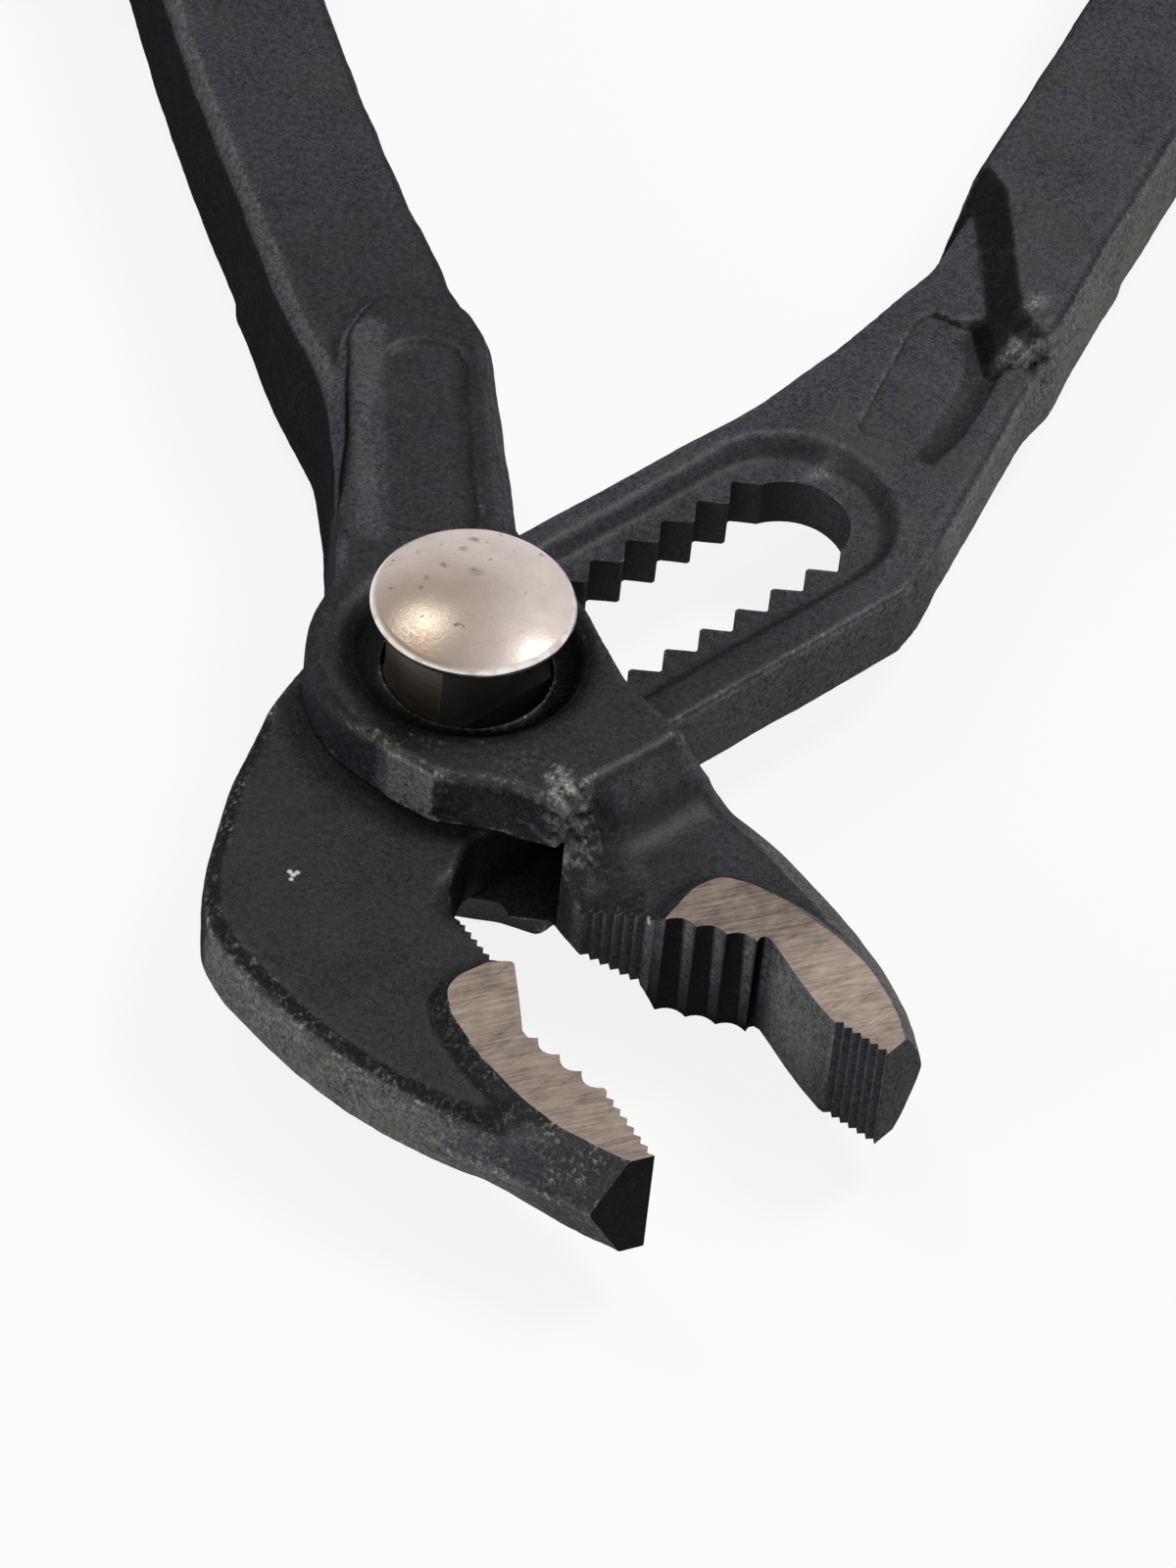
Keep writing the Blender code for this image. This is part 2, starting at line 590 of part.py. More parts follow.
def make_grip(name, parent, route):
    path = smooth_path([Vector(point) * HANDLE_REACH for point in route])
    start = round(len(path) * GRIP_AT)
    sleeve = [path[start - 1] + (path[start] - path[start - 1]).normalized() * GAP, *path[start:]]
    ahead = (path[-1] - path[-2]).normalized()
    sleeve += [path[-1] + ahead * step * GRIP_THICKNESS / 12 for step in (1, 2, 3)]
    radii = [1.0] * len(sleeve)
    radii[:2] = [0.82, 0.96]
    radii[-4:] = [1.0, 0.96, 0.84, 0.6]
    grip = swept(name, sleeve, GRIP_WIDTH, GRIP_THICKNESS, 2.6, radii)
    place(grip, parent, grip_plastic)
    inside = [path[start - 2], *path[start - 1:], path[-1] + ahead * GAP]
    pocket = swept(name + "_pocket", inside, TANG_WIDTH + 2 * GAP, TANG_THICKNESS + 2 * GAP, 7, [1] * len(inside))
    cut(grip, place(pocket, parent))
    return grip


make_outer_arm()
make_inner_arm()
make_pin()
make_button()
make_spring()
make_seat()
make_grip("grip_outer", middle, OUTER_HANDLE)
make_grip("grip_inner", pivot, INNER_HANDLE)
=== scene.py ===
import json
import math

import bpy
import numpy as np
from mathutils import Matrix, Vector

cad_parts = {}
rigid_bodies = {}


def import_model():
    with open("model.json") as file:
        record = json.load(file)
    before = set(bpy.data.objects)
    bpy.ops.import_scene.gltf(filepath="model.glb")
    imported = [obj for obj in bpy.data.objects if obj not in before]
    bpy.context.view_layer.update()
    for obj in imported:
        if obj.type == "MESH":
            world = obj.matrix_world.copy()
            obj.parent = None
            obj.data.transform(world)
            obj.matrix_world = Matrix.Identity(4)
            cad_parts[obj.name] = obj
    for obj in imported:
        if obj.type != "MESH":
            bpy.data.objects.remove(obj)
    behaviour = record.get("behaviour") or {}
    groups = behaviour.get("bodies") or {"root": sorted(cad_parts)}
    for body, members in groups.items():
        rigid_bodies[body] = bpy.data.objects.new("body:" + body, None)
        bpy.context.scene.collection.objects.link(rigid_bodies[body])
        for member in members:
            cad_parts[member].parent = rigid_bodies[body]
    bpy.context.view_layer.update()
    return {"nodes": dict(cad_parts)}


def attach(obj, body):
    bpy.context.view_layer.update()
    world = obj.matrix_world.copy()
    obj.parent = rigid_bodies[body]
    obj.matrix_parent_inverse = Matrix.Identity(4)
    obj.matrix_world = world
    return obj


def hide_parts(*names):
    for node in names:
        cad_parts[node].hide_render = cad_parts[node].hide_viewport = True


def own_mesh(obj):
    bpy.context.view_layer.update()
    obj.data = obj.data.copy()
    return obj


for leftover in list(bpy.data.objects):
    bpy.data.objects.remove(leftover)
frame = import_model()
scene = bpy.context.scene
mm = 0.001
midHeight = 9.3  # the arms' middle plane over the floor, mm
slotTurn = math.radians(45.8)
slant = 0.7071  # sine of 45 degrees, for chamfers
print("frame:", ", ".join(sorted(frame["nodes"])))


# outlines and distances, in mm


def roundedLoop(corners):
    points = []
    for index, (x, y, radius) in enumerate(corners):
        here = np.array((x, y), float)
        back = np.array(corners[index - 1][:2], float) - here
        ahead = np.array(corners[(index + 1) % len(corners)][:2], float) - here
        longBack, longAhead = np.hypot(*back), np.hypot(*ahead)
        back, ahead = back / longBack, ahead / longAhead
        angle = math.acos(np.clip(back @ ahead, -1, 1))
        if radius <= 0 or angle > math.radians(178):
            points.append(here)
            continue
        reach = min(radius / math.tan(angle / 2), 0.48 * longBack, 0.48 * longAhead)
        radius = reach * math.tan(angle / 2)
        middle = (back + ahead) / np.hypot(*(back + ahead))
        centre = here + middle * radius / math.sin(angle / 2)
        first = here + back * reach - centre
        last = here + ahead * reach - centre
        start = math.atan2(first[1], first[0])
        turn = (math.atan2(last[1], last[0]) - start + math.pi) % math.tau - math.pi
        count = max(2, math.ceil(abs(turn) / math.radians(10)))
        for step in range(count + 1):
            at = start + turn * step / count
            points.append(centre + radius * np.array((math.cos(at), math.sin(at))))
    return np.array(points)


def pathDistance(x, y, path):
    best = np.full(x.shape, 1e9)
    for (ax, ay), (bx, by) in zip(path[:-1], path[1:]):
        ex, ey = bx - ax, by - ay
        along = np.clip(((x - ax) * ex + (y - ay) * ey) / max(ex * ex + ey * ey, 1e-12), 0, 1)
        best = np.minimum(best, (x - ax - along * ex) ** 2 + (y - ay - along * ey) ** 2)
    return np.sqrt(best)


# negative inside the loop
def loopDistance(x, y, loop):
    inside = np.zeros(x.shape, bool)
    for (ax, ay), (bx, by) in zip(loop, np.roll(loop, -1, 0)):
        if ay != by:
            inside ^= ((ay > y) != (by > y)) & (x < (y - ay) * (bx - ax) / (by - ay) + ax)
    return np.where(inside, -1, 1) * pathDistance(x, y, [*loop, loop[0]])


# how far a spot lies past the line through a point, along the given way
def beyond(x, y, point, way):
    return (x - point[0]) * way[0] + (y - point[1]) * way[1]


def smoothPath(points, spans=4):
    points = [np.array(point, float) for point in points]
    points = [2 * points[0] - points[1], *points, 2 * points[-1] - points[-2]]
    route = []
    for a, b, c, d in zip(points, points[1:], points[2:], points[3:]):
        for step in range(spans):
            t = step / spans
            curve = 2 * b + (c - a) * t + (2 * a - 5 * b + 4 * c - d) * t**2
            route.append(0.5 * (curve + (3 * b - a - 3 * c + d) * t**3))
    return np.array([*route, points[-2]])


def smoothMin(a, b, blend):
    mix = np.maximum(blend - np.abs(a - b), 0) / blend
    return np.minimum(a, b) - mix * mix * blend / 4


def smoothMax(a, b, blend):
    return -smoothMin(-a, -b, blend)


def ease(value, low, high):
    share = np.clip((value - low) / (high - low), 0, 1)
    return share * share * (3 - 2 * share)


# rises over the first two values and falls over the last two
def span(value, a, b, c, d):
    return ease(value, a, b) * (1 - ease(value, c, d))


# 1 in the middle of a soft oval, falling to 0
def blot(x, y, centre, reach):
    return np.exp(-(((x - centre[0]) / reach[0]) ** 2 + ((y - centre[1]) / reach[1]) ** 2))


# 1 along a path, falling to 0 between two distances from it
def beside(x, y, path, near, far):
    return 1 - ease(pathDistance(x, y, path), near, far)


def roundedPlate(flat, rise, half, rounding):
    side = flat + rounding
    top = rise - half + rounding
    return np.minimum(np.maximum(side, top), 0) + np.hypot(np.maximum(side, 0), np.maximum(top, 0)) - rounding


def chamferedPlate(flat, rise, half, chamfer, soft=0.5):
    slope = (flat + rise - half + chamfer) * slant
    return smoothMax(smoothMax(flat, rise - half, soft), slope, soft)


def ripple(x, y, z, size, seed):
    draw = np.random.default_rng(seed)
    total = 0
    for _ in range(7):
        way = draw.normal(size=3)
        way *= math.tau / size * draw.uniform(0.6, 1.5) / np.linalg.norm(way)
        total = total + np.sin(x * way[0] + y * way[1] + z * way[2] + draw.uniform(0, math.tau))
    return (total / 3.7).astype(np.float32)


# meshes


def place(name, data):
    obj = bpy.data.objects.new(name, data)
    scene.collection.objects.link(obj)
    return obj


def quadObject(name, points, quads):
    mesh = bpy.data.meshes.new(name)
    mesh.vertices.add(len(points))
    mesh.vertices.foreach_set("co", np.asarray(points, np.float32).ravel())
    mesh.loops.add(4 * len(quads))
    mesh.loops.foreach_set("vertex_index", np.asarray(quads, np.int32).ravel())
    mesh.polygons.add(len(quads))
    mesh.polygons.foreach_set("loop_start", np.arange(len(quads), dtype=np.int32) * 4)
    mesh.update(calc_edges=True)
    mesh.validate()
    return place(name, mesh)


def turnedBy(x, y, turn):
    c, s = math.cos(turn), math.sin(turn)
    return x * c - y * s, x * s + y * c


# from mm about the arms' middle plane to metres over the floor
def toWorld(points, turn):
    x, y, z = np.asarray(points, float).T
    return np.stack([*turnedBy(x, y, turn), z + midHeight], 1) * mm


def faceObject(name, points, faces, turn=0.0):
    mesh = bpy.data.meshes.new(name)
    mesh.from_pydata(toWorld(points, turn).tolist(), [], faces)
    return place(name, mesh)


def fieldAt(field, spots):
    base = np.clip(np.floor(spots).astype(int), 0, np.array(field.shape) - 2)
    part = spots - base
    total = 0
    for dx, dy, dz in np.ndindex(2, 2, 2):
        share = np.abs(1 - dx - part[:, 0]) * np.abs(1 - dy - part[:, 1]) * np.abs(1 - dz - part[:, 2])
        total = total + share * field[base[:, 0] + dx, base[:, 1] + dy, base[:, 2] + dz]
    return total


# one point in each cell that the surface crosses, one quad on each edge of the grid that it crosses
def skin(name, field, low, step, turn=0.0):
    inside = field < 0
    part = [slice(None, -1), slice(1, None)]
    count = sum(inside[part[a], part[b], part[c]].astype(np.int8) for a, b, c in np.ndindex(2, 2, 2))
    cells = np.argwhere((count > 0) & (count < 8))
    number = np.full(count.shape, -1, np.int32)
    number[tuple(cells.T)] = np.arange(len(cells))
    total = np.zeros((len(cells), 3))
    hits = np.zeros(len(cells))
    for axis, a, b in np.ndindex(3, 2, 2):
        near = np.insert(np.array((a, b)), axis, 0)
        far = np.insert(np.array((a, b)), axis, 1)
        one = field[tuple((cells + near).T)]
        two = field[tuple((cells + far).T)]
        cross = (one < 0) != (two < 0)
        share = np.where(cross, one / np.where(cross, one - two, 1), 0)
        total += np.where(cross[:, None], near + share[:, None] * (far - near), 0)
        hits += cross
    spots = cells + total / hits[:, None]
    quads = []
    for axis in range(3):
        u, v = (axis + 1) % 3, (axis + 2) % 3
        first = [slice(None)] * 3
        second = [slice(None)] * 3
        first[axis], second[axis] = slice(None, -1), slice(1, None)
        for side in (True, False):
            edges = np.argwhere((inside[tuple(first)] == side) & (inside[tuple(second)] != side))
            edges = edges[(edges[:, u] > 0) & (edges[:, v] > 0)]
            corners = []
            for du, dv in ((1, 1), (0, 1), (0, 0), (1, 0)):
                cell = edges.copy()
                cell[:, u] -= du
                cell[:, v] -= dv
                corners.append(number[tuple(cell.T)])
            quads.append(np.stack(corners if side else corners[::-1], 1))
    quads = np.concatenate(quads)
    probe = 0.25  # of a cell
    for _ in range(3):
        slope = [fieldAt(field, spots + s) - fieldAt(field, spots - s) for s in probe * np.eye(3)]
        slope = np.stack(slope, 1) / (2 * probe)
        move = fieldAt(field, spots) / np.maximum((slope**2).sum(1), 1e-6)
        spots = spots - np.clip(move, -0.4, 0.4)[:, None] * slope
    return quadObject(name, toWorld(spots * step + np.array(low), turn), quads)


# rings of points joined in order, with both ends closed
def loft(name, rings, turn=0.0):
    sides, count = len(rings[0]), len(rings)
    faces = [list(range(sides))[::-1], list(range((count - 1) * sides, count * sides))]
    for low in range(0, (count - 1) * sides, sides):
        for k in range(sides):
            ahead = low + (k + 1) % sides
            faces.append([low + k, ahead, ahead + sides, low + k + sides])
    return faceObject(name, np.concatenate(rings), faces, turn)


def prism(name, loop, low, high, turn=0.0):
    x, y = np.array(loop, float).T
    if (x * np.roll(y, -1) - y * np.roll(x, -1)).sum() < 0:
        x, y = x[::-1], y[::-1]
    return loft(name, [np.stack([x, y, np.full(len(x), z)], 1) for z in (low, high)], turn)


# profile of (radius, height) in mm, turned about the pin axis; ends on the axis close to a point
def turned(name, profile, sides=96):
    points, rings, faces = [], [], []
    for radius, height in profile:
        if radius <= 0:
            rings.append([len(points)] * sides)
            points.append((0, 0, height))
            continue
        rings.append(list(range(len(points), len(points) + sides)))
        for step in range(sides):
            at = math.tau * step / sides
            points.append((radius * math.cos(at), radius * math.sin(at), height))
    for upper, lower in zip(rings, rings[1:]):
        for step in range(sides):
            ahead = (step + 1) % sides
            face = dict.fromkeys((upper[step], lower[step], lower[ahead], upper[ahead]))
            if len(face) > 2:
                faces.append(list(face))
    return faceObject(name, points, faces)


def combine(target, operation, tools):
    for tool in tools:
        modifier = target.modifiers.new("combine", "BOOLEAN")
        modifier.operation = operation
        modifier.solver = "MANIFOLD"
        modifier.object = tool
        graph = bpy.context.evaluated_depsgraph_get()
        before = len(target.data.polygons)
        mesh = bpy.data.meshes.new_from_object(target.evaluated_get(graph))
        target.modifiers.clear()
        old = target.data
        target.data = mesh
        bpy.data.meshes.remove(old)
        bpy.data.objects.remove(tool)
        print("  ", operation.lower(), target.name, before, "->", len(mesh.polygons), "faces")


def column(items, name, width=1, kind=float):
    values = np.empty(len(items) * width, kind)
    items.foreach_get(name, values)
    return values.reshape(-1, width) if width > 1 else values


# centres in mm about the arms' middle plane, and normals
def faceTable(obj):
    faces = obj.data.polygons
    return column(faces, "center", 3) / mm - (0, 0, midHeight), column(faces, "normal", 3)


def smoothShade(obj, angle=32):
    obj.data.polygons.foreach_set("use_smooth", [True] * len(obj.data.polygons))
    obj.data.set_sharp_from_angle(angle=math.radians(angle))


# teeth between two ends of a gripping edge; depth runs into the metal, on the left of the line
def teethLine(first, last, count, depth, scallop=False):
    first, last = np.array(first, float), np.array(last, float)
    way = (last - first) / np.hypot(*(last - first))
    inward = np.array((-way[1], way[0])) * depth
    points = []
    for tooth in range(count):
        for share in ((0, 0.16, 0.33, 0.5, 0.67, 0.84) if scallop else (0, 0.5)):
            sink = 1 - (2 * share - 1) ** 2 if scallop else 1 - abs(2 * share - 1)
            points.append(first + (last - first) * (tooth + share) / count + inward * sink)
    return [*points, last]


# finishes


class Signal:
    def __init__(self, tree, socket=None):
        self.tree = tree
        self.socket = socket

    def feed(self, socket, value):
        if isinstance(value, Signal):
            self.tree.links.new(value.socket, socket)
        elif isinstance(value, (tuple, list)) and len(value) == 3 and socket.type == "RGBA":
            socket.default_value = (*value, 1)
        else:
            socket.default_value = value

    def make(self, kind, settings=None, values=None, out=0):
        node = self.tree.nodes.new("ShaderNode" + kind)
        for name, value in (settings or {}).items():
            setattr(node, name, value)
        for name, value in (values or {}).items():
            self.feed(node.inputs[name], value)
        return Signal(self.tree, node.outputs[out] if node.outputs else None)

    def maths(self, operation, first, second):
        return self.make("Math", {"operation": operation}, {0: first, 1: second})

    def __add__(self, other):
        return self.maths("ADD", self, other)

    def __sub__(self, other):
        return self.maths("SUBTRACT", self, other)

    def __mul__(self, other):
        return self.maths("MULTIPLY", self, other)

    def __pow__(self, other):
        return self.maths("POWER", self, other)

    def __rsub__(self, other):
        return self.maths("SUBTRACT", other, self)

    __radd__ = __add__
    __rmul__ = __mul__

    def clip(self, low, high):
        return self.make("MapRange", {"clamp": True}, {"Value": self, "From Min": low, "From Max": high})

    def blend(self, first, second):
        return self.make("Mix", {"data_type": "RGBA"}, {0: self, 6: first, 7: second}, 2)

    # 1 within about a radius of a spot, both in mm, falling to 0
    def near(self, spot, radius):
        spot = tuple(value * mm for value in spot)
        away = self.make("VectorMath", {"operation": "DISTANCE"}, {0: self, 1: spot}, 1)
        return away.clip(radius * mm, 0.4 * radius * mm)

    # turned about Z, then drawn out along X
    def drawn(self, angle, share):
        lie = self.make("Mapping", None, {"Vector": self, "Rotation": (0, 0, -angle)})
        return self.make("Mapping", None, {"Vector": lie, "Scale": (share, 1, 1)})

    def noise(self, scale, detail, rough):
        values = {"Vector": self, "Scale": scale, "Detail": detail, "Roughness": rough}
        return self.make("TexNoise", None, values)

    # bump of this height, its depth in mm
    def relief(self, strength, depth, normal=None):
        values = {"Strength": strength, "Distance": depth * mm, "Height": self}
        return self.make("Bump", None, values if normal is None else {**values, "Normal": normal})


# a material with its shader, and the piece's own coordinates in metres
def newFinish(name, constants):
    material = bpy.data.materials.new(name)
    material.use_nodes = True
    tree = material.node_tree
    shader = tree.nodes["Principled BSDF"]
    for socket, value in constants.items():
        shader.inputs[socket].default_value = value
    return material, Signal(tree).make("TexCoord", None, None, 3), shader


def connect(shader, at, wires):
    for socket, value in wires.items():
        at.feed(shader.inputs[socket], value)


# where the surface turns within the given reach: 0 on flats, towards 1 on edges
def edgeMask(at, reach):
    rounded = at.make("Bevel", {"samples": 4}, {"Radius": reach * mm})
    flat = at.make("NewGeometry", None, None, 1)
    dot = at.make("VectorMath", {"operation": "DOT_PRODUCT"}, {0: rounded, 1: flat}, 1)
    return (1 - dot).clip(0.004, 0.12), rounded


oxideLook = {
    "dark": (0.003, 0.0031, 0.0037),
    "light": (0.032, 0.0327, 0.0425),
    "brown": (0.025, 0.0225, 0.018),
    "bare": (0.0335, 0.0345, 0.0345),
    "worn": (0.3, 0.29, 0.265),
    "nick": (0.55, 0.55, 0.55),
    "nicks": [
        ((-11.6, -22.2, 13), 0.3), ((-11.9, -21.9, 13), 0.28), ((-11.3, -21.9, 13), 0.28),
        ((-11.7, -22.7, 13), 0.25), ((16.6, -22.5, 12.6), 0.45), ((16.2, -22.2, 12.7), 0.3),
    ],
    "roughness": 0.42,
    "sheen": 0.012,
    "grain": 4600,
    "mottle": 170,
}


# matt oxide under a thin sheen, with worn edges and forging scale where the arm's corners say so; the
# corners' tone paints light and shade into the colour
def blackOxide(name, look):
    material, at, shader = newFinish(name, {"Specular IOR Level": 0.0, "Roughness": 0.7})
    painted = [at.make("Attribute", {"attribute_name": name}, None, 2) for name in ("tone", "scale", "wear")]
    paintedLightAndTone, scale, edges = painted
    rounded = at.make("Bevel", {"samples": 4}, {"Radius": 0.3 * mm})
    grain = at.noise(look["grain"], 3, 0.65)
    speckle = at.noise(look["grain"] * 0.4, 2, 0.5)
    mottle = at.noise(look["mottle"], 4, 0.6)
    flecks = at.noise(2100, 3, 0.7).clip(0.52, 0.66)
    patches = at.noise(420, 3, 0.6).clip(0.42, 0.62)
    wear = edges * (0.25 + 1.2 * flecks) * (0.35 + patches)
    crust = scale * (0.2 + patches) * flecks
    tone = 0.2 * mottle.clip(0.3, 0.7) + 0.6 * grain.clip(0.36, 0.64) + 0.35 * speckle.clip(0.34, 0.66)
    # where the tone is highest, mostly painted light, the colour turns to the lighter bare grey
    colour = tone.clip(0.1, 1.05).blend(look["dark"], paintedLightAndTone.clip(2.2, 4.0).blend(look["light"], look["bare"]))
    colour = (0.5 * at.noise(110, 3, 0.6).clip(0.52, 0.74)).blend(colour, look["brown"])
    # the tone multiplies the colour: painted light and shade, with the torn scale's lighter tone
    colour = at.make("Mix", {"data_type": "RGBA", "blend_type": "MULTIPLY"}, {0: 1.0, 6: colour, 7: paintedLightAndTone}, 2)
    colour = (wear + 0.7 * crust).clip(0.0, 1.1).blend(colour, look["worn"])
    nicks = sum((at.near(spot, radius) for spot, radius in look["nicks"]), 0.0)
    colour = nicks.clip(0.0, 1.0).blend(colour, look["nick"])
    height = 0.7 * grain + speckle + 1.6 * scale * at.noise(1300, 3, 0.6)
    bump = height.relief(0.5, 0.08, rounded)
    connect(shader, at, {"Base Color": colour, "Normal": bump})
    sheen = at.make("BsdfGlossy", None, {"Color": (1, 1, 1), "Roughness": look["roughness"], "Normal": bump})
    # the sheen is dulled where the tone paints shade
    share = look["sheen"] * (0.35 + 0.65 * paintedLightAndTone.clip(0.1, 0.75)) + 0.05 * wear
    mixed = at.make("MixShader", None, {0: share, 1: Signal(at.tree, shader.outputs[0]), 2: sheen})
    at.feed(at.tree.nodes["Material Output"].inputs["Surface"], mixed)
    return material


groundLook = {
    "light": (0.3, 0.253, 0.224),
    "dark": (0.085, 0.071, 0.063),
    "turn": 0.42,
    "scratch": 3600,
    "darkerPatch": ((23.5, -21.5, 14.5), 11),
    "brighter": ((32.5, -27, 14.5), 7),
}


def groundSteel(name, look):
    material, at, shader = newFinish(name, {"Metallic": 0.9})
    lines = at.drawn(look["turn"], 0.08).noise(look["scratch"], 3, 0.65)
    fewer = at.drawn(look["turn"] + 0.5, 0.04).noise(look["scratch"] * 0.45, 2, 0.6).clip(0.54, 0.7)
    patch = at.noise(520, 4, 0.65)
    tone = 0.2 + 0.5 * lines.clip(0.3, 0.7) + 0.4 * patch.clip(0.32, 0.68) - 0.16 * fewer
    # darker about the pad's root and lighter towards its tip
    tone = tone - 0.28 * at.near(*look["darkerPatch"]) + 0.22 * at.near(*look["brighter"])
    colour = tone.clip(0.1, 1.15).blend(look["dark"], look["light"])
    bump = (lines + fewer * 0.6).relief(0.2, 0.05)
    connect(shader, at, {"Base Color": colour, "Roughness": 0.34 + 0.26 * lines, "Normal": bump})
    return material


nickelLook = {
    "light": (0.74, 0.66, 0.62),
    "dark": (0.56, 0.49, 0.455),
    "brass": (0.6, 0.42, 0.21),
    # colour of the rim's worn edge and its painted highlight
    "bright": (0.95, 0.92, 0.86),
    "pit": (0.2, 0.17, 0.16),
    "worn": ((-4.5, -6.3, 24.3), 3.2),
    "rim": (7.9, 8.15),
    "pits": [
        ((-0.1, 1.7, 25.2), 0.75), ((-0.5, 6.1, 24.6), 0.7), ((-1.3, 4.6, 24.9), 0.5),
        ((-2.7, 2.2, 25.1), 0.45), ((-3.9, 0.6, 25), 0.35), ((-4.3, -0.5, 24.9), 0.3),
    ],
}


def nickelPlate(name, look):
    material, at, shader = newFinish(name, {"Metallic": 1.0})
    cloud = at.noise(330, 3, 0.6)
    fine = at.noise(3800, 3, 0.6)
    pits = at.noise(900, 2, 0.4).clip(0.7, 0.75)
    for spot, radius in look["pits"]:
        pits = pits + at.near(spot, radius) * (0.3 + 0.7 * at.noise(2400, 2, 0.6).clip(0.4, 0.6))
    thin = at.noise(2600, 4, 0.7).clip(0.5, 0.62)
    worn = at.near(*look["worn"]) * thin
    colour = (0.6 * cloud.clip(0.3, 0.7) + 0.2 * fine.clip(0.3, 0.7)).blend(look["light"], look["dark"])
    colour = (0.6 * worn).clip(0, 1).blend(colour, look["brass"])
    out = at.make("VectorMath", {"operation": "MULTIPLY"}, {0: at, 1: (1, 1, 0)})
    out = at.make("VectorMath", {"operation": "LENGTH"}, {0: out}, 1)
    # a bright broken line round the rim: worn edge, and a painted highlight of the rim's edge
    rim = out.clip(*(reach * mm for reach in look["rim"])) * at.noise(700, 3, 0.6).clip(0.38, 0.56)
    colour = (0.8 * rim).blend(colour, look["bright"])
    colour = (0.75 * pits).clip(0, 1).blend(colour, look["pit"])
    bump = (fine - pits - 0.3 * worn).relief(0.2, 0.05)
    connect(shader, at, {"Base Color": colour, "Roughness": 0.2 + 0.1 * cloud + 0.08 * worn, "Normal": bump})
    return material


# light and dark colours of the small steel pieces, and the least roughness of the turned ones
steelLook = {
    "edge": (0.6, 0.57, 0.53),
    "pin": ((0.56, 0.49, 0.4), (0.28, 0.245, 0.2), 0.34),
    # painted-shade colours for the pin's flats and, darker, its ledges under the button
    "shadedPinFlat": ((0.095, 0.089, 0.083), (0.056, 0.053, 0.05)),
    "shadowedPinLedge": ((0.06, 0.057, 0.054), (0.036, 0.0345, 0.033)),
    "spring": ((0.62, 0.62, 0.63), (0.4, 0.4, 0.41), 0.22),
}


def turnedSteel(name, light, dark, low):
    material, at, shader = newFinish(name, {"Metallic": 1.0})
    stretch = at.make("Mapping", None, {"Vector": at, "Scale": (0.06, 0.06, 1)})
    rings = stretch.noise(5200, 2, 0.6)
    stain = at.noise(420, 3, 0.6)
    edges, rounded = edgeMask(at, 0.3)
    colour = (rings.clip(0.3, 0.7) * 0.5 + stain.clip(0.3, 0.7) * 0.5).blend(light, dark)
    colour = (edges * 0.5).blend(colour, steelLook["edge"])
    bump = rings.relief(0.2, 0.04, rounded)
    connect(shader, at, {"Base Color": colour, "Roughness": low + 0.22 * stain, "Normal": bump})
    return material


# dull dark steel for the pin's flats and ledges: painted shade, where they sit under the button
def shadedSteel(name, light, dark):
    material, at, shader = newFinish(name, {"Specular IOR Level": 0.15})
    stain = at.noise(420, 3, 0.6)
    colour = stain.clip(0.3, 0.7).blend(light, dark)
    bump = at.noise(3200, 2, 0.6).relief(0.2, 0.04)
    connect(shader, at, {"Base Color": colour, "Roughness": 0.5 + 0.2 * stain, "Normal": bump})
    return material


dipLook = {"dark": (0.02, 0.02, 0.021), "light": (0.036, 0.036, 0.037)}


def dippedPlastic(name, look):
    material, at, shader = newFinish(name, {"Specular IOR Level": 0.35})
    grain = at.noise(2600, 3, 0.6)
    cloud = at.noise(120, 3, 0.6)
    tone = cloud.clip(0.3, 0.7) * 0.6 + grain.clip(0.3, 0.7) * 0.4
    colour = tone.blend(look["dark"], look["light"])
    bump = grain.relief(0.4, 0.1)
    connect(shader, at, {"Base Color": colour, "Roughness": 0.52 + 0.2 * cloud, "Normal": bump})
    return material


finishes = {
    "oxide": blackOxide("blackOxideSteel", oxideLook),
    "ground": groundSteel("groundSteel", groundLook),
    "nickel": nickelPlate("nickelPlate", nickelLook),
    "pin": turnedSteel("pinSteel", *steelLook["pin"]),
    "shadedPinFlat": shadedSteel("shadedPinFlatSteel", *steelLook["shadedPinFlat"]),
    "shadowedPinLedge": shadedSteel("shadowedPinLedgeSteel", *steelLook["shadowedPinLedge"]),
    "spring": turnedSteel("springSteel", *steelLook["spring"]),
    "dip": dippedPlastic("dippedPlastic", dipLook),
}
print("finishes:", len(finishes))


def dress(piece, *names):
    piece.data.materials.clear()
    for name in names:
        piece.data.materials.append(finishes[name])


# reach in mm, faces in square mm; a bend is how far a neighbour falls below the surface, over its distance
wearLook = {
    "reach": 1.0,
    "own": 0.35,
    "smallFace": 0.5,
    "least": 0.04,
    "edge": 0.11,
    "crease": 0.16,
    "creaseShade": 0.65,
    "darkest": 0.1,
}
